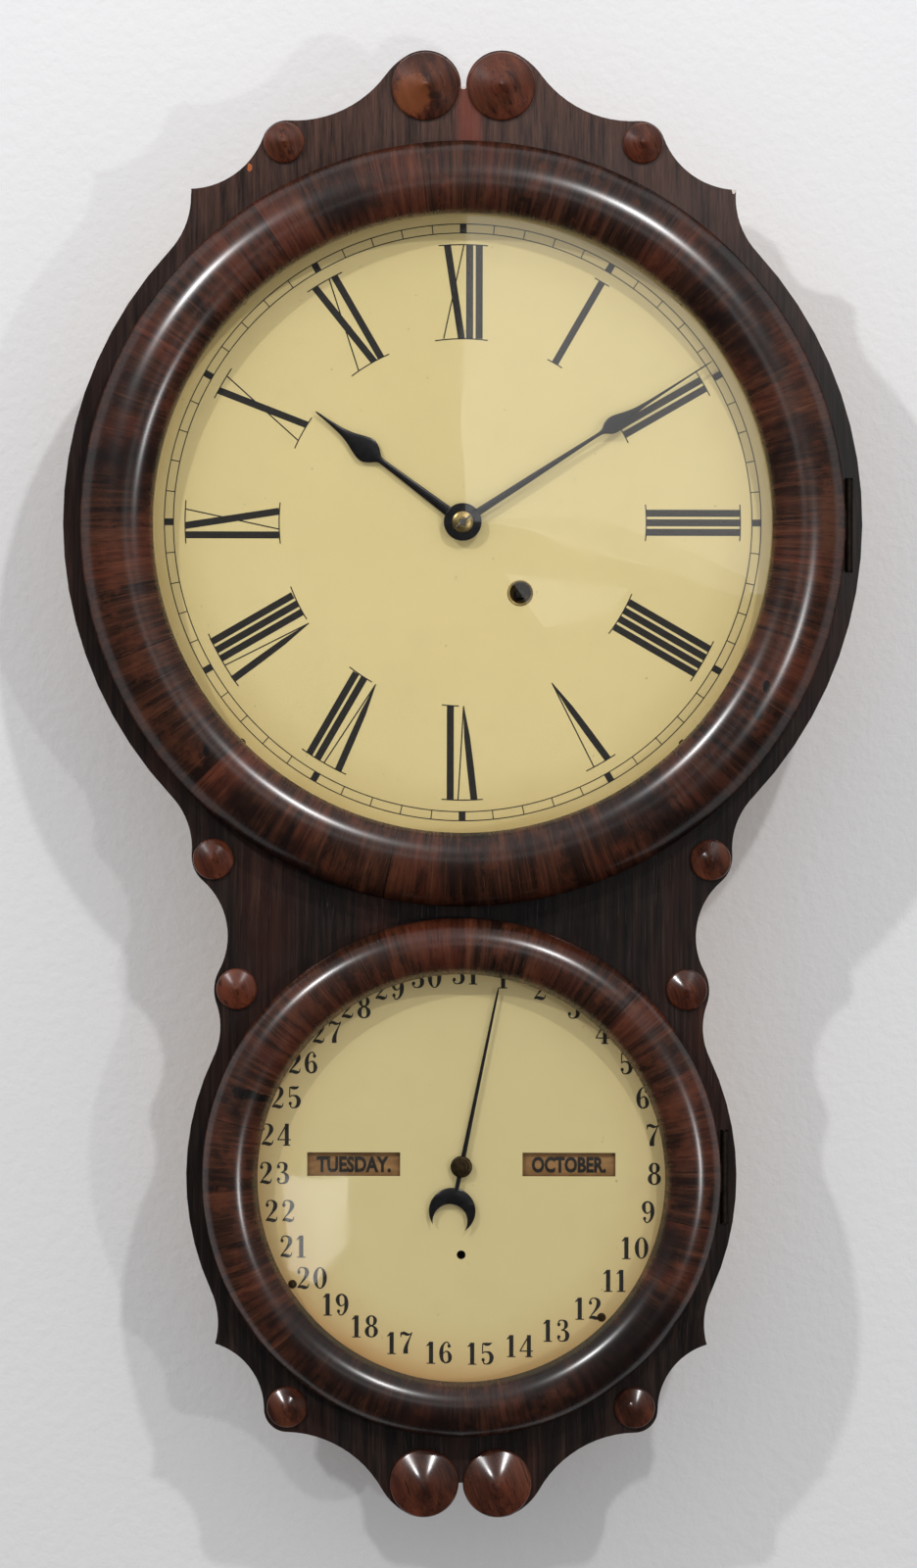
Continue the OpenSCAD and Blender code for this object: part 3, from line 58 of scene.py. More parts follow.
# %% Places taken from the part
def middle(node):
    """Middle of a node's box across the front, as (x, z)."""
    low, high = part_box(node)
    return np.array([(low.x + high.x) / 2, (low.z + high.z) / 2])


def across(node):
    """Outer radius of a round node: half its width."""
    low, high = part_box(node)
    return (high.x - low.x) / 2


time_centre = middle("time_dial")
date_centre = middle("calendar_dial")
board_face = -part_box("front_veneer")[0].y
dial_face = -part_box("time_dial")[0].y
door_back = -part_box("time_bezel")[1].y
print("time dial", time_centre, "calendar dial", date_centre)
print("board", board_face, "dials", dial_face)

# %% [markdown]
# ## Meshes worked out with numpy
#
# Nearly every piece of a clock is turned, cut from a strip or printed as a stroke. All of
# these are one thing to a mesh: a closed section that is carried along a path. So one
# function skins a grid of sections, and the others only compute where the sections lie.

# %% Skin over sections
def skin(sections, loop=False):
    """Joins section i to section i + 1, point j to point j + 1, for sections of shape (n, m, 3).
    A loop joins the last section to the first, and an open path is closed by its end sections.
    Returns points, faces and, for every face corner, its place (i / n, j / m) on the skin."""
    n, m = sections.shape[:2]
    i, j = np.meshgrid(np.arange(n if loop else n - 1), np.arange(m), indexing="ij")
    rows = np.stack([i, i, i + 1, i + 1], -1).reshape(-1, 4)
    cols = np.stack([j, j + 1, j + 1, j], -1).reshape(-1, 4)
    faces = ((rows % n) * m + cols % m).tolist()
    place = np.stack([rows / (n if loop else n - 1), cols / m], -1).reshape(-1, 2)
    if not loop:
        ends = np.arange(m)
        faces += [ends[::-1].tolist(), (ends + (n - 1) * m).tolist()]
        place = np.vstack([place, np.zeros((2 * m, 2))])
    return sections.reshape(-1, 3), faces, place


def outward(points, faces):
    """Whether a closed shell's faces look outward: six times its volume, the sum over fans of
    a . (b x c), is then positive."""
    fans = np.array([[f[0], f[k], f[k + 1]] for f in faces for k in range(1, len(f) - 1)])
    a, b, c = points[fans[:, 0]], points[fans[:, 1]], points[fans[:, 2]]
    return np.einsum("ij,ij->i", a, np.cross(b, c)).sum() >= 0


def smooth_line(points, per_span=8):
    """A curve through points: Catmull-Rom, position = half the sum of the four neighbours
    weighed by cubics in t. Every column is carried the same way, a width too."""
    p = np.asarray(points, float)
    p = np.vstack([2 * p[0] - p[1], p, 2 * p[-1] - p[-2]])
    t = np.linspace(0, 1, per_span, endpoint=False)[None, :, None]
    a, b, c, d = (p[k:len(p) - 3 + k, None] for k in range(4))
    line = 0.5 * (2 * b + (c - a) * t + (2 * a - 5 * b + 4 * c - d) * t**2
                  + (3 * b - a - 3 * c + d) * t**3)
    return np.vstack([line.reshape(-1, p.shape[1]), p[-2]])


print("a curve of two spans has", len(smooth_line([(0, 0), (1, 1), (2, 0)])), "points")

# %% Turned and stroked shells
def turned(profile, centre, steps=96, loop=False, axis="front"):
    """Turns a profile of (radius, height) about a line through centre.
    At turn t the point (r, h) goes to (x + r sin t, -h, z + r cos t), or about a line along x
    to (x + h, y + r cos t, z + r sin t). Open profiles start and end near the line and are
    closed there; a looped profile makes a ring, whose sections then follow the turn."""
    r, h = np.asarray(profile, float).T[:, :, None]
    t = np.linspace(0, 2 * np.pi, steps, endpoint=False)[None, :]
    if axis == "front":
        rings = np.stack([centre[0] + r * np.sin(t), -h + 0 * t, centre[1] + r * np.cos(t)], -1)
    else:
        rings = np.stack([centre[0] + h + 0 * t, centre[1] + r * np.cos(t),
                          centre[2] + r * np.sin(t)], -1)
    return skin(rings.transpose(1, 0, 2) if loop else rings, loop)


def stroke(path, height, thick, loop=False):
    """A flat stroke on a dial: path holds x, z and width. Each section is a rectangle, as wide
    as the stroke across its direction, from height - thick to height above the wall."""
    p = np.asarray(path, float)
    step = np.roll(p, -1, 0) - np.roll(p, 1, 0) if loop else np.gradient(p, axis=0)
    along = step[:, :2] / np.linalg.norm(step[:, :2], axis=1)[:, None]
    side = np.stack([-along[:, 1], along[:, 0]], 1) * p[:, 2:3] / 2
    left, right = p[:, :2] + side, p[:, :2] - side
    flat = np.stack([left, right, right, left], 1)
    depth = np.array([0, 0, thick, thick]) - height
    return skin(np.stack([flat[..., 0], depth + 0 * flat[..., 0], flat[..., 1]], -1), loop)


print("a turned cone has", len(turned([(1, 0), (0.1, 1)], (0, 0))[1]), "faces")

# %% [markdown]
# A piece is one object at the origin. It gets a UV map only where a finish follows its
# surface. Its faces are smooth, apart from edges sharper than 35 degrees, which is how a
# turned or filed edge catches the light.

# %% Making an object of shells
def in_scene(name, data):
    """A new object that shows this data."""
    thing = bpy.data.objects.new(name, data)
    bpy.context.scene.collection.objects.link(thing)
    return thing


def piece(name, shells, body, finish, stands_for=(), crease=35):
    """Joins shells of (points, faces, places) into one object that rides on a body."""
    points, faces, places, start = [], [], [], 0
    for verts, shell, place in shells:
        if not outward(verts, shell):
            count = [len(f) for f in shell]
            ends = np.cumsum(count)
            place = np.vstack([place[b - n:b][::-1] for n, b in zip(count, ends)])
            shell = [f[::-1] for f in shell]
        points.append(verts)
        faces += [[k + start for k in f] for f in shell]
        places.append(place)
        start += len(verts)
    mesh = bpy.data.meshes.new(name)
    mesh.from_pydata(np.vstack(points).tolist(), [], faces)
    mesh.uv_layers.new(name="around").uv.foreach_set("vector", np.vstack(places).ravel())
    mesh.polygons.foreach_set("use_smooth", np.ones(len(faces), bool))
    mesh.set_sharp_from_angle(angle=np.radians(crease))
    mesh.materials.append(finish)
    thing = in_scene(name, mesh)
    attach(thing, body)
    if stands_for:
        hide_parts(*stands_for)
    print(f"{name}: {len(points)} shells, {len(faces)} faces, rides on {body}")
    return thing


# %% [markdown]
# ## Finishes
#
# Each finish is a small graph of shader nodes. Wood, paint and metal all start from noise in
# Object coordinates, stretched along the grain or the brush, so a few short helpers say what
# every graph needs. Colours are written as they look on a screen, from 0 to 255.

# %% Helpers for shader graphs
def colour(red, green, blue):
    """A screen colour as a linear one: ((c + 0.055) / 1.055) ** 2.4 above 0.04."""
    c = np.array([red, green, blue]) / 255
    return (*np.where(c > 0.04045, ((c + 0.055) / 1.055) ** 2.4, c / 12.92).tolist(), 1)


def plug(tree, node, inputs):
    """Links or sets the inputs of a shader node, by name or number."""
    for key, value in inputs.items():
        if isinstance(value, bpy.types.NodeSocket):
            tree.links.new(value, node.inputs[key])
        else:
            node.inputs[key].default_value = value


def add(tree, kind, inputs={}, out=0, **settings):
    """Adds one shader node, links or sets its inputs, and returns one of its outputs."""
    new = tree.nodes.new("ShaderNode" + kind)
    for key, value in settings.items():
        setattr(new, key, value)
    plug(tree, new, inputs)
    return new.outputs[out]


def sums(tree, what, a, b=0.0, c=0.0):
    """One sum of up to three numbers, such as POWER or MULTIPLY_ADD."""
    return add(tree, "Math", {0: a, 1: b, 2: c}, operation=what)


def times(tree, a, b):
    """a times b."""
    return sums(tree, "MULTIPLY", a, b)


def vectors(tree, what, a, b, out=0):
    """One sum of two vectors, such as ADD, MULTIPLY or DISTANCE, whose number is output 1."""
    return add(tree, "VectorMath", {0: a, 1: b}, out=out, operation=what)


def noise(tree, where, scale, detail=3.0, rough=0.55, bend=0.0):
    """Noise from 0 to 1, mostly near a half, with scale in cells per metre."""
    return add(tree, "TexNoise", {"Vector": where, "Scale": scale, "Detail": detail,
                                  "Roughness": rough, "Distortion": bend})


def steps(tree, value, *stops):
    """A colour ramp through (place, colour) stops, where a number stands for a grey."""
    ramp = tree.nodes.new("ShaderNodeValToRGB")
    bar = ramp.color_ramp.elements
    while len(bar) < len(stops):
        bar.new(1)
    for stop, (place, shade) in zip(bar, stops):
        stop.position = place
        stop.color = shade if isinstance(shade, tuple) else (shade, shade, shade, 1)
    tree.links.new(value, ramp.inputs[0])
    return ramp.outputs[0]


def blend(tree, share, below, above, mode="MIX"):
    """Lays one colour over another."""
    return add(tree, "Mix", {0: share, 6: below, 7: above}, out=2, data_type="RGBA",
               blend_type=mode)


def patchy(tree, where, scale, detail, *stops, rough=0.55):
    """Noise run through a ramp, which gives patches of the first and of the last stop."""
    return steps(tree, noise(tree, where, scale, detail, rough), *stops)


def stretched(tree, where, scale, turn=(0, 0, 0), shift=(0, 0, 0)):
    """Coordinates made longer or shorter along each axis, which draws noise out into grain."""
    return add(tree, "Mapping", {"Vector": where, "Scale": scale, "Rotation": turn,
                                 "Location": shift})


def relief(tree, height, depth, below=None, strength=1.0):
    """A bump of that depth in metres, laid over another one."""
    inputs = {"Height": height, "Distance": depth, "Strength": strength}
    if below is not None:
        inputs["Normal"] = below
    return add(tree, "Bump", inputs)


def begin(name):
    """A new material: its tree, the Principled shader, and Object coordinates."""
    made = bpy.data.materials.new(name)
    made.use_nodes = True
    tree = made.node_tree
    return made, tree, tree.nodes["Principled BSDF"], add(tree, "TexCoord", out=3)


def show_mix(tree, share, first, second):
    """Shows a mixture of two shaders in place of the Principled one."""
    both = add(tree, "MixShader", {0: share, 1: first, 2: second})
    tree.links.new(both, tree.nodes["Material Output"].inputs[0])


print("cream paint in linear numbers:", [round(c, 3) for c in colour(225, 210, 155)])

# %% [markdown]
# ### Rosewood
#
# The wood is dark brown with nearly black lines, reddish clouds and pale pores. One function
# colours it from coordinates in which the grain runs along the third axis, so the flat board,
# the rolls and the buttons share it, each with its own warmth. The pores are long, thin and a
# little paler, because old wax and dust fill them.

# %% Colour of rosewood
def rosewood(tree, where, tones, cloud, redness, blackness, contrast=1.0, fineness=1.0):
    """Colour = dark to pale by drawn-out noise, reddened by clouds, with black lines and pores.
    Returns the colour, the fine grain as a height, and the pores' mask."""
    dark, middle_tone, warm, pale = (colour(*tone) for tone in tones)
    drift = noise(tree, stretched(tree, where, (1, 1, 0.5)), 22, 2)
    bent = vectors(tree, "ADD", where, vectors(tree, "MULTIPLY", add(
        tree, "CombineXYZ", {0: drift, 1: drift}), (0.006, 0.006, 0)))
    figure = noise(tree, stretched(tree, bent, (1, 1, 0.035)), 150 * fineness, 5, 0.62)
    fine = noise(tree, stretched(tree, bent, (1, 1, 0.022)), 620, 4, 0.65)
    clouds = noise(tree, stretched(tree, where, (1, 1, 0.3)), cloud, 3, 0.6, 0.4)
    spread = 0.13 / contrast
    wood = steps(tree, figure, (0.5 - 1.5 * spread, dark), (0.5 - 0.35 * spread, middle_tone),
                 (0.5 + 0.6 * spread, warm), (0.5 + 1.7 * spread, pale))
    reddened = blend(tree, 0.55, wood, colour(142, 62, 38))
    red_clouds = times(tree, steps(tree, clouds, (0.5, 0.0), (0.68, 1.0)), redness)
    wood = blend(tree, red_clouds, wood, reddened)
    wood = blend(tree, steps(tree, clouds, (0.28, 0.75), (0.47, 0.0)), wood, dark)
    lines = steps(tree, fine, (0.33, blackness), (0.46, 0.0))
    wood = blend(tree, lines, wood, dark)
    pores = patchy(tree, stretched(tree, bent, (1, 1, 0.02)), 1350, 2, (0.6, 0.0), (0.72, 0.45),
                   rough=0.5)
    return blend(tree, pores, wood, pale), fine, pores


def spots(tree, where, places, ragged=0.6, soft=0.02):
    """A mask of marks: 1 inside an oval of half sizes (rx, rz) about (x, z). Noise makes its edge
    ragged, and soft is the share of the size over which it fades."""
    torn = sums(tree, "MULTIPLY_ADD", noise(tree, where, 600, 4, 0.7), 2 * ragged, -ragged)
    mask = None
    for x, z, rx, rz in places:
        flat = vectors(tree, "SUBTRACT", where, (x, 0, z))
        flat = vectors(tree, "MULTIPLY", flat, (1 / rx, 0, 1 / rz))
        away = sums(tree, "ADD", vectors(tree, "LENGTH", flat, (0, 0, 0), 1), torn)
        hit = add(tree, "MapRange", {0: away, 1: 1 + soft, 2: 1 - soft, 3: 0.0, 4: 1.0})
        mask = hit if mask is None else sums(tree, "MAXIMUM", mask, hit)
    return mask


# %% [markdown]
# The front is one sheet of veneer with upright grain. Near the top it is painted paler in fine
# streaks, as a painted sheen of the overhead light, and it has one reddish strip. Three chips at
# its corners show pale ground and one shows orange wood. The varnish is thin, so its gloss is
# uneven.

# %% Front veneer and the dyed edge of the board
def make_board(name, chips, bare):
    made, tree, shader, where = begin(name)
    tones = (11, 7, 6), (24, 15, 12), (38, 25, 19), (60, 42, 33)
    wood, fine, pores = rosewood(tree, where, tones, 16, 0.15, 0.85, 0.9, 2.4)
    height = add(tree, "SeparateXYZ", {0: where}).node.outputs[2]
    # Painted sheen: the colour turns paler, in fine streaks, towards the top where the overhead
    # light falls.
    painted_top_sheen = add(tree, "MapRange", {0: height, 1: -0.12, 2: 0.02, 3: 0.0, 4: 0.8})
    sheen_streaks = patchy(tree, stretched(tree, where, (1, 1, 0.06)), 420, 5, (0.36, 0.05), (0.64, 0.95),
                  rough=0.75)
    wood = blend(tree, times(tree, sheen_streaks, painted_top_sheen), wood, colour(104, 70, 58))
    strip = spots(tree, where, [(0.003, 0.02, 0.006, 0.05)], 0.2, 0.4)
    wood = blend(tree, times(tree, strip, 0.5), wood, colour(138, 66, 48))
    wood = blend(tree, spots(tree, where, bare, 0.8), wood, colour(168, 92, 48))
    wood = blend(tree, spots(tree, where, chips, 0.8), wood, colour(214, 204, 192))
    gloss = patchy(tree, where, 60, 4, (0.35, 0.32), (0.7, 0.46), rough=0.7)
    bump = relief(tree, pores, 0.00008, relief(tree, fine, 0.00012))
    plug(tree, shader, {"Base Color": wood, "Roughness": gloss, "Normal": bump,
                               "Specular IOR Level": 0.25, "Coat Weight": 0.5,
                               "Coat Roughness": 0.16, "IOR": 1.5})
    return made


cusp_chips = [(-0.1366, -0.0237, 0.0013, 0.0017), (0.1347, -0.0226, 0.0010, 0.0014),
              (0.0, 0.0285, 0.0014, 0.0009)]
board_finish = make_board("rosewood_veneer", cusp_chips, [(-0.1065, -0.0115, 0.0012, 0.0018)])
off_the_board = [(0, -1, 0.001, 0.001)]
edge_finish = make_board("dyed_board_edge", off_the_board, off_the_board)
print("made", board_finish.name, "and", edge_finish.name)

# %% [markdown]
# The rolls are veneered across: short sections of veneer are bent over the half-round, each
# with its grain running from the rim to the opening. Coordinates for that come from the UV
# map: u goes round in turns and v across, so (R cos u, R sin u, v) has no seam and its third
# axis is the grain. A random number for each section changes its tone and slides its grain.
# The steep outer flank is matt: below v = dull_to the coat thins out and the wood turns rough,
# and its colour is darkened there as painted shade.

# %% Cross-banded veneer
def make_roll(name, radius, width, sections, first, dull_to, marks):
    made, tree, shader, where = begin(name)
    uv = add(tree, "SeparateXYZ", {0: add(tree, "UVMap", uv_map="around")})
    across_uv = uv.node.outputs[1]
    turn = times(tree, uv, 2 * np.pi)
    ring = add(tree, "CombineXYZ", {0: times(tree, sums(tree, "COSINE", turn), radius),
                                    1: times(tree, sums(tree, "SINE", turn), radius),
                                    2: times(tree, across_uv, width)})
    uneven = times(tree, sums(tree, "SINE", times(tree, turn, 3.0)), 0.28)
    count = sums(tree, "ADD", sums(tree, "MULTIPLY_ADD", uv, float(sections), first), uneven)
    number = sums(tree, "FLOOR", count)
    random = add(tree, "TexWhiteNoise", {"W": sums(tree, "MODULO", number, float(sections))},
                 noise_dimensions="1D")
    slid = vectors(tree, "ADD", ring, add(tree, "CombineXYZ", {
        0: random, 1: times(tree, random, 3.0), 2: random}))
    tones = (20, 10, 6), (44, 23, 14), (72, 39, 24), (102, 61, 40)
    wood, fine, pores = rosewood(tree, slid, tones, 24, 0.45, 0.6, 0.75, 1.8)
    tone = steps(tree, random, (0.0, 0.62), (0.5, 0.95), (1.0, 1.25))
    wood = blend(tree, 0.7, wood, tone, "MULTIPLY")
    bright = patchy(tree, stretched(tree, slid, (1, 1, 0.7)), 75, 4, (0.5, 0.0), (0.66, 0.55),
                    rough=0.7)
    wood = blend(tree, bright, wood, colour(96, 50, 30))
    stains = patchy(tree, where, 14, 4, (0.5, 0.0), (0.62, 0.8), rough=0.65)
    wood = blend(tree, stains, wood, colour(17, 10, 8))
    from_joint = sums(tree, "ABSOLUTE", sums(tree, "SUBTRACT", sums(tree, "FRACT", count), 0.5))
    wood = blend(tree, sums(tree, "LESS_THAN", from_joint, 0.4985), colour(18, 9, 7), wood)
    for shade, places, soft in marks:
        wood = blend(tree, spots(tree, where, places, 0.7, soft), wood, shade)
    # On the outer flank, below v = dull_to, the coat thins out and the colour is darkened as
    # painted shade.
    glossy_unshaded = add(tree, "MapRange", {0: across_uv, 1: 0.4 * dull_to, 2: dull_to, 3: 0.0, 4: 1.0})
    wood = blend(tree, sums(tree, "MULTIPLY_ADD", glossy_unshaded, 0.35, 0.65), colour(18, 11, 9), wood)
    split = patchy(tree, stretched(tree, ring, (1, 1, 0.06)), 820, 3, (0.36, 1.0), (0.45, 0.0),
                   rough=0.65)
    gloss = patchy(tree, where, 45, 4, (0.35, 0.36), (0.7, 0.54), rough=0.7)
    gloss = blend(tree, glossy_unshaded, (0.8, 0.8, 0.8, 1), gloss)
    bump = relief(tree, split, -0.00036, relief(tree, fine, 0.00016))
    bump = relief(tree, noise(tree, where, 900, 3, 0.6), 0.00008, bump)
    plug(tree, shader, {"Base Color": wood, "Roughness": gloss, "Normal": bump,
                               "Specular IOR Level": 0.04, "Coat Roughness": 0.24, "IOR": 1.5,
                               "Coat IOR": 1.68, "Coat Weight": glossy_unshaded})
    return made


chip, patch, pale_crack = colour(16, 9, 8), colour(84, 50, 34), colour(178, 142, 112)
time_roll_finish = make_roll(
    "cross_banded_time_roll", 0.168, 0.12, 11, 0.3, 0.27, [
        (patch, [(0.1812, -0.187, 0.0046, 0.0190)], 0.4),
        (pale_crack, [(0.0505, -0.3990, 0.0006, 0.0030)], 0.1),
        (chip, [(0.146, -0.283, 0.0024, 0.0034), (0.150, -0.270, 0.0018, 0.0030),
                (-0.126, -0.302, 0.0016, 0.0028)], 0.2)])
calendar_roll_finish = make_roll(
    "cross_banded_calendar_roll", 0.116, 0.10, 9, 0.7, 0.26, [
        (chip, [(-0.1060, -0.4718, 0.0062, 0.0026), (-0.0990, -0.4737, 0.0042, 0.0019),
                (-0.1110, -0.4700, 0.0030, 0.0016)], 0.15)])
print("made", time_roll_finish.name, "and", calendar_roll_finish.name)

# %% [markdown]
# The buttons are turned from solid wood, so the grain runs through them from side to side and
# the cone cuts it into arcs. They are a little lighter than the rolls. The upper left one has a
# flat facet where its edge has been knocked: an orange patch of raw wood, painted lighter also
# as the light on that facet, and dark cracks beside it, painted darker also as the facet's shadow.

# %% Turned wood
def make_turned(name, marks):
    made, tree, shader, where = begin(name)
    grain = stretched(tree, where, (1, 1, 1), (0.0, 0.35, 0.0))
    tones = (36, 16, 10), (66, 32, 19), (90, 47, 28), (114, 64, 39)
    wood, fine, pores = rosewood(tree, grain, tones, 60, 0.35, 0.85, 0.75)
    for shade, places in marks:
        mask = times(tree, spots(tree, where, places, 0.5, 0.15), 0.6)
        wood = blend(tree, mask, wood, shade)
    plug(tree, shader, {
        "Base Color": wood,
        "Roughness": patchy(tree, where, 420, 3, (0.3, 0.36), (0.7, 0.52), rough=0.6),
        "Normal": relief(tree, pores, -0.0001, relief(tree, fine, 0.0001)),
        "Specular IOR Level": 0.15, "Coat Weight": 0.9, "Coat Roughness": 0.2, "Coat IOR": 1.6})
    return made


# Upper left button: raw orange wood painted lighter also as light on its facet, and dark cracks
# painted darker also as the facet's shadow.
button_finish = make_turned("turned_rosewood", [
    (colour(136, 76, 42), [(-0.0255, 0.0245, 0.0085, 0.0100)]),
    (colour(30, 14, 10), [(-0.0140, 0.0236, 0.0036, 0.0018), (-0.0146, 0.0188, 0.0022, 0.0030),
                          (-0.0162, 0.0146, 0.0020, 0.0028)])])
print("made", button_finish.name)

# %% [markdown]
# ### Paint, paper and metal
#
# The dials are sheet zinc under cream paint that has gone orange where the bezel's rim has
# caught dirt. Distance from the middle drives that toning, noise makes it patchy, and it is
# weaker towards the upper right.

# %% Dial paint
def make_dial(name, centre, radius, tone, edge_from, edge_shade, side_weight):
    made, tree, shader, where = begin(name)
    flat = vectors(tree, "MULTIPLY", where, (1, 0, 1))
    away = vectors(tree, "DISTANCE", flat, (centre[0], 0, centre[1]), 1)
    share = sums(tree, "DIVIDE", away, radius)
    drift = sums(tree, "SUBTRACT", noise(tree, where, 22, 3), 0.5)
    share = sums(tree, "ADD", share, times(tree, drift, 0.10))
    cream = blend(tree, patchy(tree, where, 7, 3, (0.35, 0.0), (0.7, 1.0)),
                  colour(*tone), colour(*[c + 6 for c in tone]))
    cream = blend(tree, patchy(tree, where, 55, 5, (0.5, 0.0), (0.8, 0.25), rough=0.7),
                  cream, colour(*[c * 0.92 for c in tone]))
    near_edge = edge_from + 0.7 * (1 - edge_from)
    rim = steps(tree, share, (edge_from, 0.0), (near_edge, 0.35), (1.0, 0.8))
    low = add(tree, "SeparateXYZ", {0: vectors(tree, "SUBTRACT", flat, (centre[0], 0, centre[1]))})
    side = sums(tree, "ADD", times(tree, low, -0.6), times(tree, low.node.outputs[2], -0.8))
    weight = add(tree, "MapRange", {0: side, 1: -radius, 2: radius, 3: side_weight, 4: 1.0})
    cream = blend(tree, times(tree, rim, weight), cream, colour(*edge_shade))
    speck = patchy(tree, where, 420, 2, (0.73, 0.0), (0.77, 0.5), rough=0.5)
    cream = blend(tree, speck, cream, colour(150, 120, 80))
    plug(tree, shader, {
        "Base Color": cream, "Normal": relief(tree, noise(tree, where, 240, 4), 0.00004),
        "Roughness": patchy(tree, where, 30, 3, (0.3, 0.42), (0.7, 0.55))})
    return made


time_paint = make_dial("time_dial_paint", time_centre, across("time_dial"), (232, 215, 156), 0.80,
                       (206, 178, 112), 0.5)
date_paint = make_dial("calendar_dial_paint", date_centre, across("calendar_dial"),
                       (222, 207, 153), 0.70, (198, 142, 82), 0.3)
print("made", time_paint.name, "and", date_paint.name)

# %% Ink, paper, pine, putty and metals
def make_plain(name, first, second, scale, rough, metal=0.0, grain=(1, 1, 1), depth=0.00003,
               extra={}):
    """Two tones mixed by noise, with uneven gloss and a fine relief: (first, second) are screen
    colours, scale is cells per metre, and grain stretches the noise along the brush or fibre."""
    made, tree, shader, where = begin(name)
    cloud = noise(tree, where, scale / 6, 3, 0.6)
    tooth = noise(tree, stretched(tree, where, grain), scale, 4, 0.65)
    first = colour(*first)
    tone = blend(tree, steps(tree, tooth, (0.34, 0.0), (0.66, 1.0)), first, colour(*second))
    tone = blend(tree, steps(tree, cloud, (0.5, 0.0), (0.75, 0.4)), tone, first)
    plug(tree, shader, {
        "Base Color": tone, "Metallic": metal, "Normal": relief(tree, tooth, depth),
        "Roughness": steps(tree, cloud, (0.3, rough - 0.07), (0.7, rough + 0.09)), **extra})
    return made


ink = make_plain("black_ink", (30, 28, 27), (42, 39, 37), 600, 0.5)
paper = make_plain("brown_paper", (131, 95, 57), (163, 125, 80), 240, 0.8, 0, (0.3, 1, 1))
pine = make_plain("bare_pine", (172, 126, 74), (214, 176, 120), 260, 0.62, 0, (1, 1, 0.04), 0.0001)
putty = make_plain("glazing_putty", (178, 164, 124), (206, 194, 158), 500, 0.8, 0, depth=0.0001)
brass = make_plain("old_brass", (150, 116, 58), (208, 172, 96), 340, 0.34, 1.0, (1, 1, 0.15))
dark_brass = make_plain("dark_brass", (62, 52, 38), (98, 82, 58), 420, 0.42, 1.0)
bright_brass = make_plain("bright_brass", (206, 176, 112), (240, 216, 156), 340, 0.3, 1.0,
                          (1, 1, 0.15))
black_brass = make_plain("blackened_brass", (30, 25, 20), (52, 43, 33), 420, 0.5, 0.8)
dark_steel = make_plain("dark_steel", (34, 31, 28), (58, 54, 49), 380, 0.5, 0.9)
steel = make_plain("plain_steel", (104, 104, 106), (158, 158, 160), 380, 0.36, 1.0, (1, 1, 0.2))
blued = make_plain("blued_steel", (20, 20, 24), (38, 37, 42), 300, 0.36, 0.6,
                   extra={"Coat Weight": 0.3, "Coat Roughness": 0.2})
print("made", len(bpy.data.materials), "materials so far")

# %% [markdown]
# Window glass is thin, so nothing behind it looks bent. It is a mixture of two things: most of
# the light passes as through air, a little tinted, and the rest is mirrored. The mirrored share
# is 0.04 + 0.96 (1 - cos a) ** 5, which is the same from both sides of the sheet. A faint wave
# keeps reflections from being ruled lines, as in old drawn glass.

# %% Glass
def make_glass(name):
    made, tree, shader, where = begin(name)
    wave = relief(tree, noise(tree, where, 9, 2, 0.4), 0.0009, strength=0.25)
    smear = patchy(tree, stretched(tree, where, (1, 1, 0.6)), 26, 4, (0.4, 0.0), (0.75, 0.06),
                   rough=0.7)
    plug(tree, shader, {"Base Color": (1, 1, 1, 1), "Metallic": 1.0, "Roughness": smear,
                               "Normal": wave})
    clear = add(tree, "BsdfTransparent", {"Color": (0.98, 0.976, 0.962, 1)})
    aside = add(tree, "LayerWeight", {"Blend": 0.5, "Normal": wave}, out=1)
    mirrored = sums(tree, "MULTIPLY_ADD", sums(tree, "POWER", aside, 5.0), 0.96, 0.04)
    show_mix(tree, mirrored, clear, shader.outputs[0])
    return made


glass = make_glass("window_glass")
print("made", glass.name)

# %% [markdown]
# ## The case
#
# The CAD nodes with the right shape stay and only get their finish. Each is named here once.

# %% Finishes on the CAD nodes
def dress(finish, *nodes):
    """Gives CAD nodes a finish. Their meshes stay as they are."""
    for node in nodes:
        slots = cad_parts[node].data.materials
        slots.clear()
        slots.append(finish)
    print(finish.name, "on", ", ".join(nodes))


dress(board_finish, "front_veneer")
dress(edge_finish, "front_board")
dress(pine, "box_boards", "back_board", "movement_blocks")
dress(time_paint, "time_dial")
dress(date_paint, "calendar_dial")
dress(putty, "time_putty", "calendar_putty")
dress(glass, "time_glass", "calendar_glass")
dress(paper, "day_roller", "month_roller")
dress(bright_brass, "winding_grommet", "hand_washer")
dress(dark_steel, "winding_arbor")
dress(black_brass, "fixed_hinge_leaves", "time_hinge_leaf", "calendar_hinge_leaf", "hinge_pins")
dress(brass, "movement_back_plate", "movement_front_plate",
      "hour_wheel", "motion_wheel", "half_day_wheel", "centre_wheel", "third_wheel", "escape_wheel",
      "great_wheel", "pendulum_bob", "rating_nut", "hanger_plate", "date_wheel")
dress(dark_brass, "calendar_frame", "calendar_bridge", "calendar_pillars", "movement_pillars",
      "dial_screws")
dress(steel, "wood_screws", "time_catch_pin", "calendar_catch_pin", "hand_pin",
      "centre_arbor", "suspension_post", "click_and_spring", "verge", "crutch",
      "pendulum_rod", "mainspring", "detent_springs", "lift_lever", "calendar_wire",
      "calendar_lever")

# %% [markdown]
# ## Bezels
#
# A bezel is a ring whose profile is turned about the dial's line. The time bezel falls to its
# rim on a wide quarter oval and to the glass on a narrower, lower one; the calendar bezel is a
# single oval. Behind are the steps for glass and dial. The CAD rings have the same
# profiles with 180 sides; these are finer and smooth, and their UV map says how far round and
# how far along the profile each point is, which the cross grain follows.

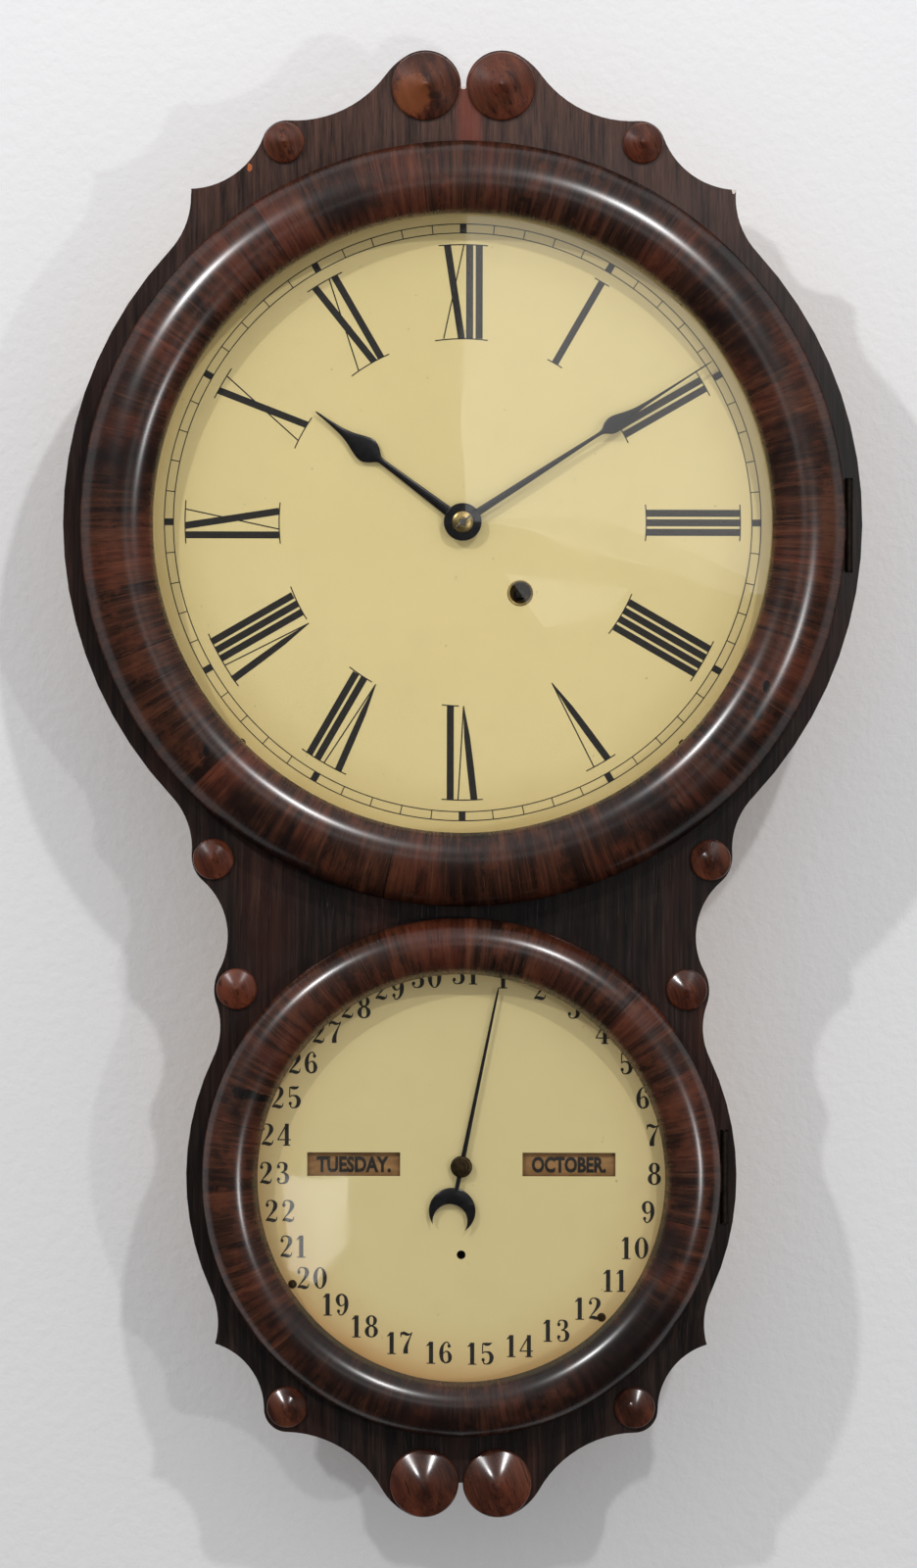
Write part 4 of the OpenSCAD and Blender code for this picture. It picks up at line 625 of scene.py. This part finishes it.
# %% Bezel profiles
def oval(middle, half, rise, first, last, count):
    """Points (r + half cos t, h + rise sin t) about middle (r, h), t from first to last degrees."""
    t = np.radians(np.linspace(first, last, count))
    return np.stack([middle[0] + half * np.cos(t), middle[1] + rise * np.sin(t)], 1)


def even(profile, gap):
    """The same closed profile with points at least every gap along its sides, corners kept."""
    p = np.vstack([profile, profile[:1]])
    gaps = np.linalg.norm(np.diff(p, axis=0), axis=1)
    parts = [np.linspace(a, b, max(2, int(g / gap) + 1))[:-1] for a, b, g in zip(p, p[1:], gaps)]
    return np.vstack(parts)


def rebate(opening_r, glass_r, back_r):
    """The steps behind a roll: from the opening out past the glass to the ring's back."""
    return [(opening_r, glass_top), (glass_r, glass_top), (glass_r, 0.7), (back_r, 0.7),
            (back_r, 0)]


glass_top = (-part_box("time_glass")[0].y - door_back) / MM + 0.05
rim_r, opening_r, inner_half = 190, 153.3, 15.4
crest_r = opening_r + inner_half
time_profile = np.vstack([
    [(rim_r, 0)], oval((crest_r, 9), rim_r - crest_r, 19, 0, 89, 50),
    oval((crest_r, 16), -inner_half / np.cos(np.radians(162)), 12, 90, 162, 34),
    rebate(opening_r, 158.8, 159.5)])
calendar_profile = np.vstack([
    [(128.7, 0)], oval((114.85, 10), 13.85, 12, 0, 152, 50), rebate(101, 106.5, 114)])
print("time profile", len(time_profile), "points, calendar profile", len(calendar_profile))

# %% Bezels
def bezel(name, profile, node, body, finish):
    """Turns the profile about the bezel's own middle, above the height of its back. Its v runs
    from 0 to 1 with the length along the profile, whatever the gaps between its points."""
    line = even(profile, 1.0) * MM + [0, door_back]
    low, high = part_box(node)
    centre = ((low.x + high.x) / 2, high.z - across(node))
    points, faces, place = turned(line, centre, 360, loop=True)
    run = np.linalg.norm(np.roll(line, -1, 0) - line, axis=1)
    share = np.append(0, np.cumsum(run)) / run.sum()
    place[:, 1] = share[np.rint(place[:, 1] * len(line)).astype(int)]
    return piece(name, [(points, faces, place)], body, finish, [node])


bezel("time_bezel_roll", time_profile, "time_bezel", "time_door", time_roll_finish)
bezel("calendar_bezel_roll", calendar_profile, "calendar_bezel", "calendar_door",
      calendar_roll_finish)

# %% [markdown]
# ## Turned buttons
#
# Twelve buttons stand on the front in pairs: a cone on a low foot, with a rounded shoulder from
# the lathe and a slope that steepens close to the tip. They are a little lower than the CAD
# cones, as their shading in the photograph asks.

# %% Buttons
def button_profile(r):
    """Tenon, foot, rounded shoulder, cone, tip, as (radius, height). The cone rises at 25 degrees
    and steepens only near its tip: rise = w (0.466 t + 0.1 t ** 6) for a width w at share t."""
    t, w = np.linspace(0, 1, 30), r - 0.9
    cone = np.stack([w * (1 - t) + 0.2 * t, 2.4 + w * (0.466 * t + 0.1 * t**6)], 1)
    foot = [(0.3, -7), (3, -7), (3, 0), (r, 0), (r, 1.2), (r - 0.15, 1.75), (r - 0.45, 2.15)]
    return np.vstack([foot, cone, [(0.08, cone[-1, 1] + 0.05)]])


def buttons(name, node, places, r):
    """One turned shell at each place (x, z), mirrored to the other side."""
    both_sides = [(s * x, z) for x, z in places for s in (1, -1)]
    shape = button_profile(r) * MM + [0, board_face]
    piece(name, [turned(shape, np.array(p) * MM, 72) for p in both_sides], "case",
          button_finish, [node], crease=28)


tz, cz = time_centre[1] / MM, date_centre[1] / MM
buttons("large_turned_buttons", "large_buttons", [(19, tz + 217), (18.3, cz - 157.5)], 17)
buttons("small_turned_buttons", "small_buttons", [
    (89.3, tz + 188.8), (123.8, tz - 167.8), (112, cz + 88.1), (86.5, cz - 119.9)], 10.2)

# %% [markdown]
# ## The time dial's print
#
# The print is a minute track and twelve Roman numerals. A numeral is drawn as it is read from
# the middle: u runs along the ring and w out from it, in millimetres. Thick strokes are 3.5
# wide, hairlines 0.65, and a thin arc closes the feet and heads. Each stroke is a very thin slab
# of ink on the paint, and each lies a hair higher than the last, so crossings stay clean.

# %% Ink on the time dial
INK = 0.06 * MM
inner_r, outer_r, track, thick, hair = 91.4, 138.2, (144.0, 148.5), 3.5, 0.65


def on_ring(u, r, angle, centre):
    """(u, r) on a ring, clockwise from the top: x + r sin a + u cos a, z + r cos a - u sin a."""
    a = np.radians(angle)
    u, r = np.broadcast_arrays(np.asarray(u, float), np.asarray(r, float))
    return np.stack([centre[0] / MM + r * np.sin(a) + u * np.cos(a),
                     centre[1] / MM + r * np.cos(a) - u * np.sin(a)], -1) * MM


def circle_path(radius, width, centre, count=240, start=0, stop=360):
    """A path round a circle, with its width, open where start and stop aren't a full turn."""
    full = stop - start >= 360
    t = np.radians(np.linspace(start, stop, count, endpoint=not full))
    return np.stack([centre[0] + radius * MM * np.sin(t), centre[1] + radius * MM * np.cos(t),
                     width * MM + 0 * t], 1)


def numeral(letters):
    """Strokes (u inside, u outside, width) of a Roman numeral, and where its serifs end."""
    x, strokes, inside, last = 0.0, [], [], ""
    for letter in letters:
        if letter == "I":
            x += {"": 0, "I": 4.75, "V": 11.9, "X": 11.2}[last]
            strokes.append((x, x, thick))
            inside.append(x)
        else:
            x += {"": 0, "I": 4.6}[last]
            lean = 5.3 if letter == "V" else 7.2
            strokes.append((x + lean, x, thick))
            strokes.append((x + lean, x + 8, hair) if letter == "V" else (x - 1.7, x + 8.3, hair))
            inside += [x + 7.2, x - 1.7] if letter == "X" else []
        last = letter
    outside = [s[1] for s in strokes]
    middle_u = (min(outside) + max(outside)) / 2
    return [(a - middle_u, b - middle_u, w) for a, b, w in strokes], [
        u - middle_u for u in inside], [u - middle_u for u in outside]


def time_print():
    """Every stroke of the time dial as a shell: numerals, two circles, ticks and blocks."""
    shells, order = [], 0
    for hour, letters in enumerate("XII I II III IIII V VI VII VIII IX X XI".split()):
        strokes, inside, outside = numeral(letters)
        angle = hour * 30
        for a, b, w in strokes:
            wedge = "V" in letters and w == thick and a != b
            spread = np.array([0.35 if wedge else w, w * (0.85 if wedge else 1), w, w])
            r = np.linspace(inner_r, outer_r, 4)
            path = on_ring(np.linspace(a, b, 4), r, angle, time_centre)
            shells.append(stroke(np.column_stack([path, spread * MM]),
                                 dial_face + INK * (0.5 + 0.04 * order), INK))
            order = (order + 1) % 12
        for ends, radius in ((inside, inner_r), (outside, outer_r)):
            if ends:
                lean = 2.6 + thick / 2 if len(ends) > 1 else 4.2
                span = np.degrees(np.array([min(ends) - lean, max(ends) + lean]) / radius)
                shells.append(stroke(circle_path(radius, 0.58, time_centre, 9, *(angle + span)),
                                     dial_face + INK * 1.05, INK))
    for radius in track:
        line = circle_path(radius, 0.5, time_centre)
        shells.append(stroke(line, dial_face + INK * 1.1, INK, True))
    for minute in range(60):
        width = 3.4 if minute % 5 == 0 else 0.5
        path = on_ring([0, 0], track, minute * 6, time_centre)
        shells.append(stroke(np.column_stack([path, [width * MM] * 2]), dial_face + INK * 0.9, INK))
    return shells


piece("time_dial_print", time_print(), "case", ink, crease=30)

# %% [markdown]
# ## The calendar dial's print
#
# The dates are upright figures with fat stems and hairline turns. Each figure is a few smooth
# strokes whose width swells and thins: "x y width" at each point, in hundredths of the height,
# run through the same curve as every other stroke. A bowl is a closed loop.

# %% Figures for the dates
BOWL_POINTS = 20


def bowl(x, y, rx, ry, thin, fat):
    """A closed oval stroke, thin above and below: width = thin + fat cos^2 t."""
    t = np.linspace(0, 2 * np.pi, BOWL_POINTS, endpoint=False)
    return np.stack([x + rx * np.cos(t), y + ry * np.sin(t), thin + fat * np.cos(t) ** 2], 1)


def ball(x, y, r=7.5):
    """A round drop: a short stroke as wide as it is long."""
    s = np.linspace(-0.96, 0.96, 7)
    return np.stack([x + r * s, y + 0 * s, 2 * r * np.sqrt(1 - s**2)], 1)


def straight(text):
    """A stroke of "x y width" points, parted by commas."""
    return np.array([point.split() for point in text.split(",")], float)


def bent(text):
    """A smooth open stroke through its points."""
    return smooth_line(straight(text), 6)


hook = bent("14 22 5, 17 7 5, 30 3 5, 46 12 13, 52 34 17, 43 53 12, 27 58 5")
six = [bent("48 82 6, 40 96 5, 27 94 6, 15 75 12, 11 48 17, 15 18 12, 30 3 5"), ball(46, 80),
       bent("30 3 5, 46 12 11, 50 30 16, 44 50 10, 32 56 5, 19 46 4")]
FIGURES = {
    "0": (66, [bowl(33, 50, 21.5, 46.5, 4.5, 12.5)]),
    "1": (46, [straight("24 3 17, 24 99 17"), straight("4 80 4, 20 93 10"),
               straight("5 2.2 4.5, 43 2.2 4.5")]),
    "2": (62, [ball(13, 76),
               bent("9 80 5, 17 94 5, 31 97 5, 46 88 13, 49 70 17, 38 47 10, 20 24 5, 7 7 4"),
               bent("7 6 4, 22 11 13, 40 7 14, 53 10 6, 57 24 3")]),
    "3": (62, [ball(14, 78), ball(14, 22),
               bent("10 82 5, 18 95 5, 31 97 5, 45 88 13, 46 70 14, 37 57 6, 25 53 4"),
               bent("25 53 4, 42 49 8, 52 33 17, 48 12 13, 31 3 5, 17 6 5, 9 19 5")]),
    "4": (66, [straight("44 3 16, 44 99 16"), straight("44 97 6, 4 27 5"),
               straight("2 27 5, 62 27 5"), straight("28 2.2 4.5, 60 2.2 4.5")]),
    "5": (62, [hook, ball(14, 22), straight("12 97 4.5, 11 50 4.5"),
               bent("12 95 5, 28 92 13, 42 93 10, 53 99 3"), bent("11 50 4, 19 57 5, 29 58 5")]),
    "6": (62, six),
    "7": (60, [straight("6 99 4, 6 76 4"), bent("6 86 5, 17 95 12, 33 89 12, 47 89 6, 57 98 3"),
               bent("56 96 4, 45 70 6, 33 42 12, 28 20 18, 28 2 19")]),
    "8": (64, [bowl(32, 75.5, 17, 21.5, 5, 10), bowl(32, 27, 20.5, 24.5, 5, 12)]),
    "9": (62, [np.column_stack([60 - s[:, 0], 100 - s[:, 1], s[:, 2]]) for s in six])}
print("figures:", " ".join(FIGURES))

# %% Dates round the calendar dial
FIGURE_H, BOLDNESS, GAP = 11.1, 1.12, 13
DATE_RING_R, DATE_SHIFT, DATE_RISE = 94.8, 1.4, 1.3


def number_shells(text, x, z):
    """The strokes of a number whose middle stands at (x, z) millimetres from the dial's middle."""
    unit = FIGURE_H / 100
    width = sum(FIGURES[c][0] for c in text) + GAP * (len(text) - 1)
    cursor, shells = -width / 2, []
    for character in text:
        advance, strokes = FIGURES[character]
        for order, path in enumerate(strokes):
            p = np.column_stack([date_centre[0] / MM + x + (path[:, 0] + cursor) * unit,
                                 date_centre[1] / MM + z + (path[:, 1] - 50) * unit,
                                 path[:, 2] * unit * BOLDNESS])
            height = dial_face + INK * (0.5 + 0.05 * order)
            shells.append(stroke(p * MM, height, INK, len(path) == BOWL_POINTS))
        cursor += advance + GAP
    return shells


def date_print():
    """Thirty-one upright numbers clockwise from the top, a little off the dial's middle. Those
    round the 17th stand up to 2.4 degrees too far on, along a bell curve."""
    shells = []
    for day in range(1, 32):
        a = np.radians(day * 360 / 31 + 2.4 * np.exp(-((day - 17.5) / 2.4) ** 2))
        shells += number_shells(str(day), DATE_SHIFT + DATE_RING_R * np.sin(a),
                                DATE_RISE + DATE_RING_R * np.cos(a))
    return shells


piece("calendar_dial_print", date_print(), "case", ink, crease=30)

# %% [markdown]
# ## Words on the rollers
#
# Two paper bands are pasted round wooden rollers. One carries the days and the other the
# months, and one word of each stands in its window. The words are plain condensed capitals
# from Blender's own font, made into a mesh, cut across so that they can bend, and laid on the
# drum: the height s of a point on the word becomes the angle s / R.

# %% Flat words
def flat_word(text, tall, wide):
    """A word as a thin mesh in its own plane, fitted to a height and a width, cut into rows."""
    curve = bpy.data.curves.new("word", "FONT")
    curve.body, curve.extrude, curve.offset, curve.resolution_u = text, 0.01, 0.042, 3
    holder = in_scene("word", curve)
    bpy.context.view_layer.update()
    evaluated = holder.evaluated_get(bpy.context.evaluated_depsgraph_get())
    mesh = bpy.data.meshes.new_from_object(evaluated)
    work = bmesh.new()
    work.from_mesh(mesh)
    bmesh.ops.remove_doubles(work, verts=work.verts, dist=1e-5)
    for row in np.arange(-0.1, 0.85, 0.1):
        everything = work.verts[:] + work.edges[:] + work.faces[:]
        bmesh.ops.bisect_plane(work, geom=everything, plane_co=(0, row, 0), plane_no=(0, 1, 0))
    points = np.array([v.co for v in work.verts])
    faces = [[v.index for v in f.verts] for f in work.faces]
    work.free()
    bpy.data.objects.remove(holder)
    low, high = points.min(0), points.max(0)
    cap = points[:, 1].clip(0).max()
    squeeze = min(wide / (high[0] - low[0]), 0.82 * tall / cap)
    points[:, 0] = (points[:, 0] - (low[0] + high[0]) / 2) * squeeze
    points[:, 1] = (points[:, 1] - cap / 2) * tall / cap
    points[:, 2] = np.where(points[:, 2] > 0, 1.0, 0.0)
    return points, faces


def band_words(words, centre, radius, tall, wide):
    """Words round a drum along x. A point (u, s) of word k goes to the angle
    a = s / R + 2 pi k / n above the front: y - R cos a, z + R sin a."""
    shells = []
    for k, word in enumerate(words):
        flat, faces = flat_word(word, tall, wide)
        a = flat[:, 1] / radius + 2 * np.pi * k / len(words)
        r = radius + INK * (flat[:, 2] - 0.3)
        points = np.stack([centre[0] + flat[:, 0], centre[1] - r * np.cos(a),
                           centre[2] + r * np.sin(a)], 1)
        corners = sum(len(f) for f in faces)
        shells.append((points, faces, np.zeros((corners, 2))))
    return shells


DAYS = "TUESDAY. WEDNESDAY. THURSDAY. FRIDAY. SATURDAY. SUNDAY. MONDAY.".split()
MONTHS = ("OCTOBER. NOVEMBER. DECEMBER. JANUARY. FEBRUARY. MARCH. APRIL. MAY. JUNE. JULY. "
          "AUGUST. SEPTEMBER.").split()
print("in the windows:", DAYS[0], MONTHS[0])

# %% Paper bands and their words
WINDOW_X, DRUM_Y = 0.0536, -0.0625


def roller_band(side, node, body, words, stem):
    """The paper sleeve round a roller, 0.12 mm thick, with its words."""
    low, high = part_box(node)
    drum = (side * WINDOW_X, DRUM_Y, (low.z + high.z) / 2)
    r, half = (high.z - low.z) / 2, 25.9 * MM
    inside, outside = r + 0.02 * MM, r + 0.12 * MM
    sleeve = [(inside, -half), (outside, -half), (outside, half), (inside, half)]
    piece(stem + "_paper", [turned(sleeve, drum, 96, loop=True, axis="side")], body,
          paper)
    piece(stem + "_words", band_words(words, drum, outside, 7.6 * MM, 37 * MM), body,
          ink, crease=30)


roller_band(-1, "day_roller", "day_roller_group", DAYS, "day_band")
roller_band(1, "month_roller", "month_roller_group", MONTHS, "month_band")

# %% [markdown]
# ## Hands
#
# The hands are filed from sheet steel and blued: thin at the hub, swelling into a spade and
# drawn out to a needle. The outline is a smooth curve of half widths along the hand, and the
# section is flat behind and crowned in front, so a long highlight runs down the middle.

# %% Blades and hubs
def blade(stations, centre, angle, back, rise):
    """A hand along its angle: at distance r the half width w is a smooth curve through the
    stations, and across it, at share s, the front is back + rise (0.4 + 0.6 sqrt(1 - s^2))."""
    r, w = smooth_line(stations, 7).T[:, :, None]
    s = np.array([-1, -0.93, -0.7, -0.35, 0, 0.35, 0.7, 0.93, 1, 1, -1])[None, :]
    up = np.where(np.arange(11) < 9, 0.4 + 0.6 * np.sqrt(np.clip(1 - s**2, 0, 1)), 0.0)
    flat = on_ring(s * w, r + 0 * s, angle, centre)
    return skin(np.stack([flat[..., 0], -(back + rise * up + 0 * r), flat[..., 1]], -1))


def hub(centre, hole, radius, back, rise):
    """A flat ring with a rounded outer edge, round the arbor's hole."""
    t = np.radians(np.linspace(0, 90, 6))
    edge = np.stack([radius - 0.5 + 0.5 * np.cos(t), rise - 0.4 + 0.4 * np.sin(t)], 1)
    ring = np.vstack([[(hole, 0), (radius, 0)], edge, [(hole, rise)]]) * MM + [0, back]
    return turned(ring, centre, 64, loop=True)


def back_of(node, thickness):
    """Height above the wall of the back of a hand, from its front face."""
    return -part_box(node)[0].y - thickness


HAND_T, HOUR_AT, MINUTE_AT, DAY_AT = 0.9, 306.8, 57.1, 360 / 31
hour_back, date_back = back_of("hour_hand", HAND_T * MM), back_of("date_hand", HAND_T * MM)
minute_back = hour_back + 2.6 * MM
print("hands lie at", hour_back, minute_back, date_back)

# %% Hour and minute hands
hour_blade = [(5, 2.6), (15, 2.3), (25, 2.05), (35, 1.75), (45, 1.55), (50, 1.5), (52, 1.9),
              (55, 4.3), (58, 5.95), (61, 6.15), (65, 4.95), (70, 3.05), (76, 1.65), (84, 0.85),
              (90, 0.5), (91.6, 0.12)]
minute_blade = [(7, 1.9), (20, 1.75), (40, 1.55), (60, 1.2), (78, 0.9), (82, 1.1), (84, 2.0),
                (86, 3.4), (88.8, 4.15), (92, 3.85), (97, 2.5), (102, 1.45), (108, 0.95),
                (115, 0.75), (130, 0.5), (143, 0.35), (147.5, 0.12)]
piece("hour_spade_hand", [
    blade(hour_blade, time_centre, HOUR_AT, hour_back, HAND_T * MM),
    hub(time_centre, 3.7, 7, hour_back, HAND_T)], "hour_group", blued, ["hour_hand"])
piece("minute_spade_hand", [
    blade(minute_blade, time_centre, MINUTE_AT, minute_back, HAND_T * MM),
    hub(time_centre, 2.1, 9.4, minute_back, HAND_T)], "minute_group", blued,
    ["minute_hand"])

# %% Date hand
def crescent(centre, angle, back, rise):
    """The date hand's tail: outer circle r 11.6, inner circle r 8.6 moved 5.2 outwards. The
    section at turn t runs between them, so its middle line and width follow both circles."""
    t = np.radians(np.linspace(-136, 136, 60))
    outer_r, inner_r, moved, off_hub = 11.6, 8.6, 5.2, 22.5
    outer = np.stack([outer_r * np.sin(t), outer_r * np.cos(t)], 1)
    reach = -moved * np.cos(t) + np.sqrt(inner_r**2 - (moved * np.sin(t)) ** 2)
    inner = np.stack([reach * np.sin(t), reach * np.cos(t)], 1)
    s = np.array([0, 0.08, 0.5, 0.92, 1, 1, 0])[None, :, None]
    line = outer[:, None] * (1 - s) + inner[:, None] * s
    up = np.array([0.5, 0.95, 1, 0.95, 0.5, 0, 0])[None, :] + 0 * line[..., 0]
    flat = on_ring(line[..., 0], line[..., 1] - off_hub, angle, centre)
    return skin(np.stack([flat[..., 0], -(back + rise * up), flat[..., 1]], -1))


needle = [(4, 1.2), (30, 0.95), (60, 0.75), (85, 0.55), (90, 0.35), (91, 0.12)]
tail = [(-12.5, 1.0), (-9, 1.1), (-4, 1.2)]
piece("date_needle_hand", [
    blade(needle, date_centre, DAY_AT, date_back, HAND_T * MM),
    blade(tail, date_centre, DAY_AT, date_back, HAND_T * MM),
    crescent(date_centre, DAY_AT, date_back, HAND_T * MM),
    hub(date_centre, 2.1, 5.4, date_back, HAND_T)], "date_group", blued,
    ["date_hand"])

# %% [markdown]
# A domed collar of dark brass covers the middle of the date hand, with two turned grooves.

# %% Date collar
collar = [(0.2, 0), (5.1, 0), (5.1, 0.25), (4.8, 0.6), (3.9, 0.9), (3.5, 0.85), (3.2, 1.1),
          (1.9, 1.3), (1.5, 1.25), (1.2, 1.5), (0.2, 1.55)]
collar = np.array(collar) * MM + [0, date_back + HAND_T * MM]
piece("date_collar", [turned(collar, date_centre, 64)], "date_group", dark_brass,
      crease=30)

# %% [markdown]
# ## Wall, light and camera
#
# The clock hangs on a pale wall, with a pale floor far below. Seen from behind, the wall lets
# the view through, and it never stops a shadow ray, so that lamps behind can light the back.
# Two small ceiling lamps light the front from the upper left and the upper right, and a weaker
# one stands low on the right. The three shadows on the wall give their directions: a point of
# the board at height h throws its shadow h times the lamp's slope to the other side. The room
# itself is the world, brighter above than below. Mirrored in polish it is much darker, as the
# dark side of the room that the photograph's highlights stand out from.

# %% Wall and floor
def sheet_of_stage(name, corners, finish):
    """A flat stage piece through its corners."""
    mesh = bpy.data.meshes.new(name)
    mesh.from_pydata(corners, [], [list(range(len(corners)))])
    mesh.materials.append(finish)
    in_scene(name, mesh)
    print(name, "of the stage")


def make_wall(name, is_wall):
    """Pale paint, painted lighter above as light falling from the ceiling. Some rays pass: shadow
    rays, those that meet the wall's back, and those that the clock scatters or mirrors towards the
    floor."""
    made, tree, shader, where = begin(name)
    height = add(tree, "SeparateXYZ", {0: where}).node.outputs[2]
    # Painted light: the wall's colour turns lighter towards the top.
    upper = add(tree, "MapRange", {0: height, 1: -0.75, 2: 0.1, 3: 0.0, 4: 1.0})
    tone = blend(tree, upper, colour(219, 219, 219), colour(235, 235, 236))
    tone = blend(tree, patchy(tree, where, 3, 2, (0.3, 0.0), (0.7, 0.15)), tone,
                 colour(208, 209, 212))
    plug(tree, shader, {"Base Color": tone, "Roughness": 0.8,
                        "Normal": relief(tree, noise(tree, where, 160, 4, 0.6), 0.0006)})
    path = add(tree, "LightPath").node.outputs
    unseen = add(tree, "NewGeometry", out=6) if is_wall else sums(
        tree, "MAXIMUM", path["Is Diffuse Ray"], path["Is Glossy Ray"])
    open_to = sums(tree, "MAXIMUM", unseen, path["Is Shadow Ray"])
    show_mix(tree, open_to, shader.outputs[0], add(tree, "BsdfTransparent"))
    return made


WALL_Y, FLOOR_Z, TOP_Z = 0.0006, -1.45, 2.4
sheet_of_stage("wall", [(-3, WALL_Y, FLOOR_Z), (3, WALL_Y, FLOOR_Z), (3, WALL_Y, TOP_Z),
                        (-3, WALL_Y, TOP_Z)], make_wall("pale_wall", True))
sheet_of_stage("floor", [(-3, -4, FLOOR_Z), (3, -4, FLOOR_Z), (3, 4, FLOOR_Z), (-3, 4, FLOOR_Z)],
               make_wall("pale_floor", False))

# %% Lamps and world
HEART = Vector((0, -0.08, -0.32))


def lamp(name, place, size, power):
    """A soft square lamp at a place, turned to face the clock's heart."""
    light = bpy.data.lights.new(name, "AREA")
    light.shape, light.size, light.size_y, light.energy = "RECTANGLE", size, size, power
    holder = in_scene(name, light)
    holder.location = place
    holder.rotation_euler = (HEART - Vector(place)).to_track_quat("-Z", "Y").to_euler()
    print(name, power, "W")


lamp("ceiling_lamp_left", (-1.40, -2.14, 1.19), 0.08, 21)
lamp("ceiling_lamp_right", (0.734, -2.14, 1.19), 0.08, 16)
lamp("low_lamp_right", (1.66, -3.0, -0.60), 0.10, 11)
lamp("back_lamp", (0.3, 2.6, 0.4), 1.4, 30)

world = bpy.data.worlds.new("room")
world.use_nodes = True
bpy.context.scene.world = world
sky = world.node_tree
path = add(sky, "LightPath").node.outputs
seen = sums(sky, "MAXIMUM", path["Is Camera Ray"], path["Is Transmission Ray"])
upward = add(sky, "SeparateXYZ", {0: add(sky, "TexCoord", out=0)}).node.outputs[2]
room = sums(sky, "MULTIPLY_ADD", upward, 0.34, 0.58)
ceiling = sums(sky, "MULTIPLY_ADD", sums(sky, "MAXIMUM", upward, 0.0), 0.42, 0.04)
room = add(sky, "Mix", {0: path["Is Glossy Ray"], 2: room, 3: sums(sky, "MULTIPLY", room, ceiling)})
strength = add(sky, "Mix", {0: seen, 2: room, 3: 0.92})
plug(sky, sky.nodes["Background"], {0: (0.98, 0.98, 1.0, 1), 1: strength})

# %% [markdown]
# Something pale stands beside the photographer, and the glass mirrors it as a lighter area with
# an upright edge at twelve o'clock. Four cards behind the camera stand in for it. A card seen
# at g on the glass, from a camera at c in front of it, lies at g + (g - c) d / D across, where
# d and D are the distances of card and camera from the glass. Only mirror rays see a card.

# %% Cards that the glass mirrors
DISTANCE = 2.9
EYE = np.array([-0.0018, -(board_face + DISTANCE), -0.3182])
glass_y, card_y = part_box("time_glass")[0].y, -3.05


def card(name, seen_at, strength):
    """A pale card whose mirror image on the glass has the corners seen_at, in millimetres."""
    g = np.array(seen_at) * MM
    far = g + (g - EYE[[0, 2]]) * (glass_y - card_y) / (glass_y - EYE[1])
    made, tree, shader, where = begin(name)
    mottled = patchy(tree, where, 5, 3, (0.3, 0.85), (0.7, 1.0))
    glow = add(tree, "Emission", {"Color": mottled, "Strength": strength})
    mirror_ray = add(tree, "LightPath").node.outputs["Is Glossy Ray"]
    show_mix(tree, mirror_ray, add(tree, "BsdfTransparent"), glow)
    made.cycles.emission_sampling = "NONE"
    sheet_of_stage(name, [(x, card_y, z) for x, z in far.tolist()], made)


card("card_upper_right", [(0, -186), (0, 60), (270, 60), (270, -256)], 1.1)
card("card_streak", [(4, -180), (60, -186), (140, -214), (140, -226), (60, -198), (4, -188)], 0.5)
card("card_lower_right", [(22, -214), (84, -221), (74, -234), (40, -241)], 0.8)
card("card_calendar", [(-86, -512), (-58, -514), (-55, -545), (-69, -567), (-84, -558)], 2.2)

# %% [markdown]
# The photograph is square on, from about 2.9 m, with its middle on the waist of the clock and
# a roll of an eighth of a degree.

# %% Camera
SCALE, IMAGE_H = 2.05, 1600
camera = bpy.data.cameras.new("camera")
camera.sensor_width = 36
camera.lens = 36 / 2 / (IMAGE_H / SCALE / 2 * MM / DISTANCE)
eye = in_scene("camera", camera)
eye.location = EYE.tolist()
eye.rotation_euler = (np.radians(90), np.radians(-0.12), 0)
bpy.context.scene.camera = eye
bpy.context.scene.view_settings.view_transform = "Standard"
print("lens", round(camera.lens, 1), "mm at", tuple(eye.location))
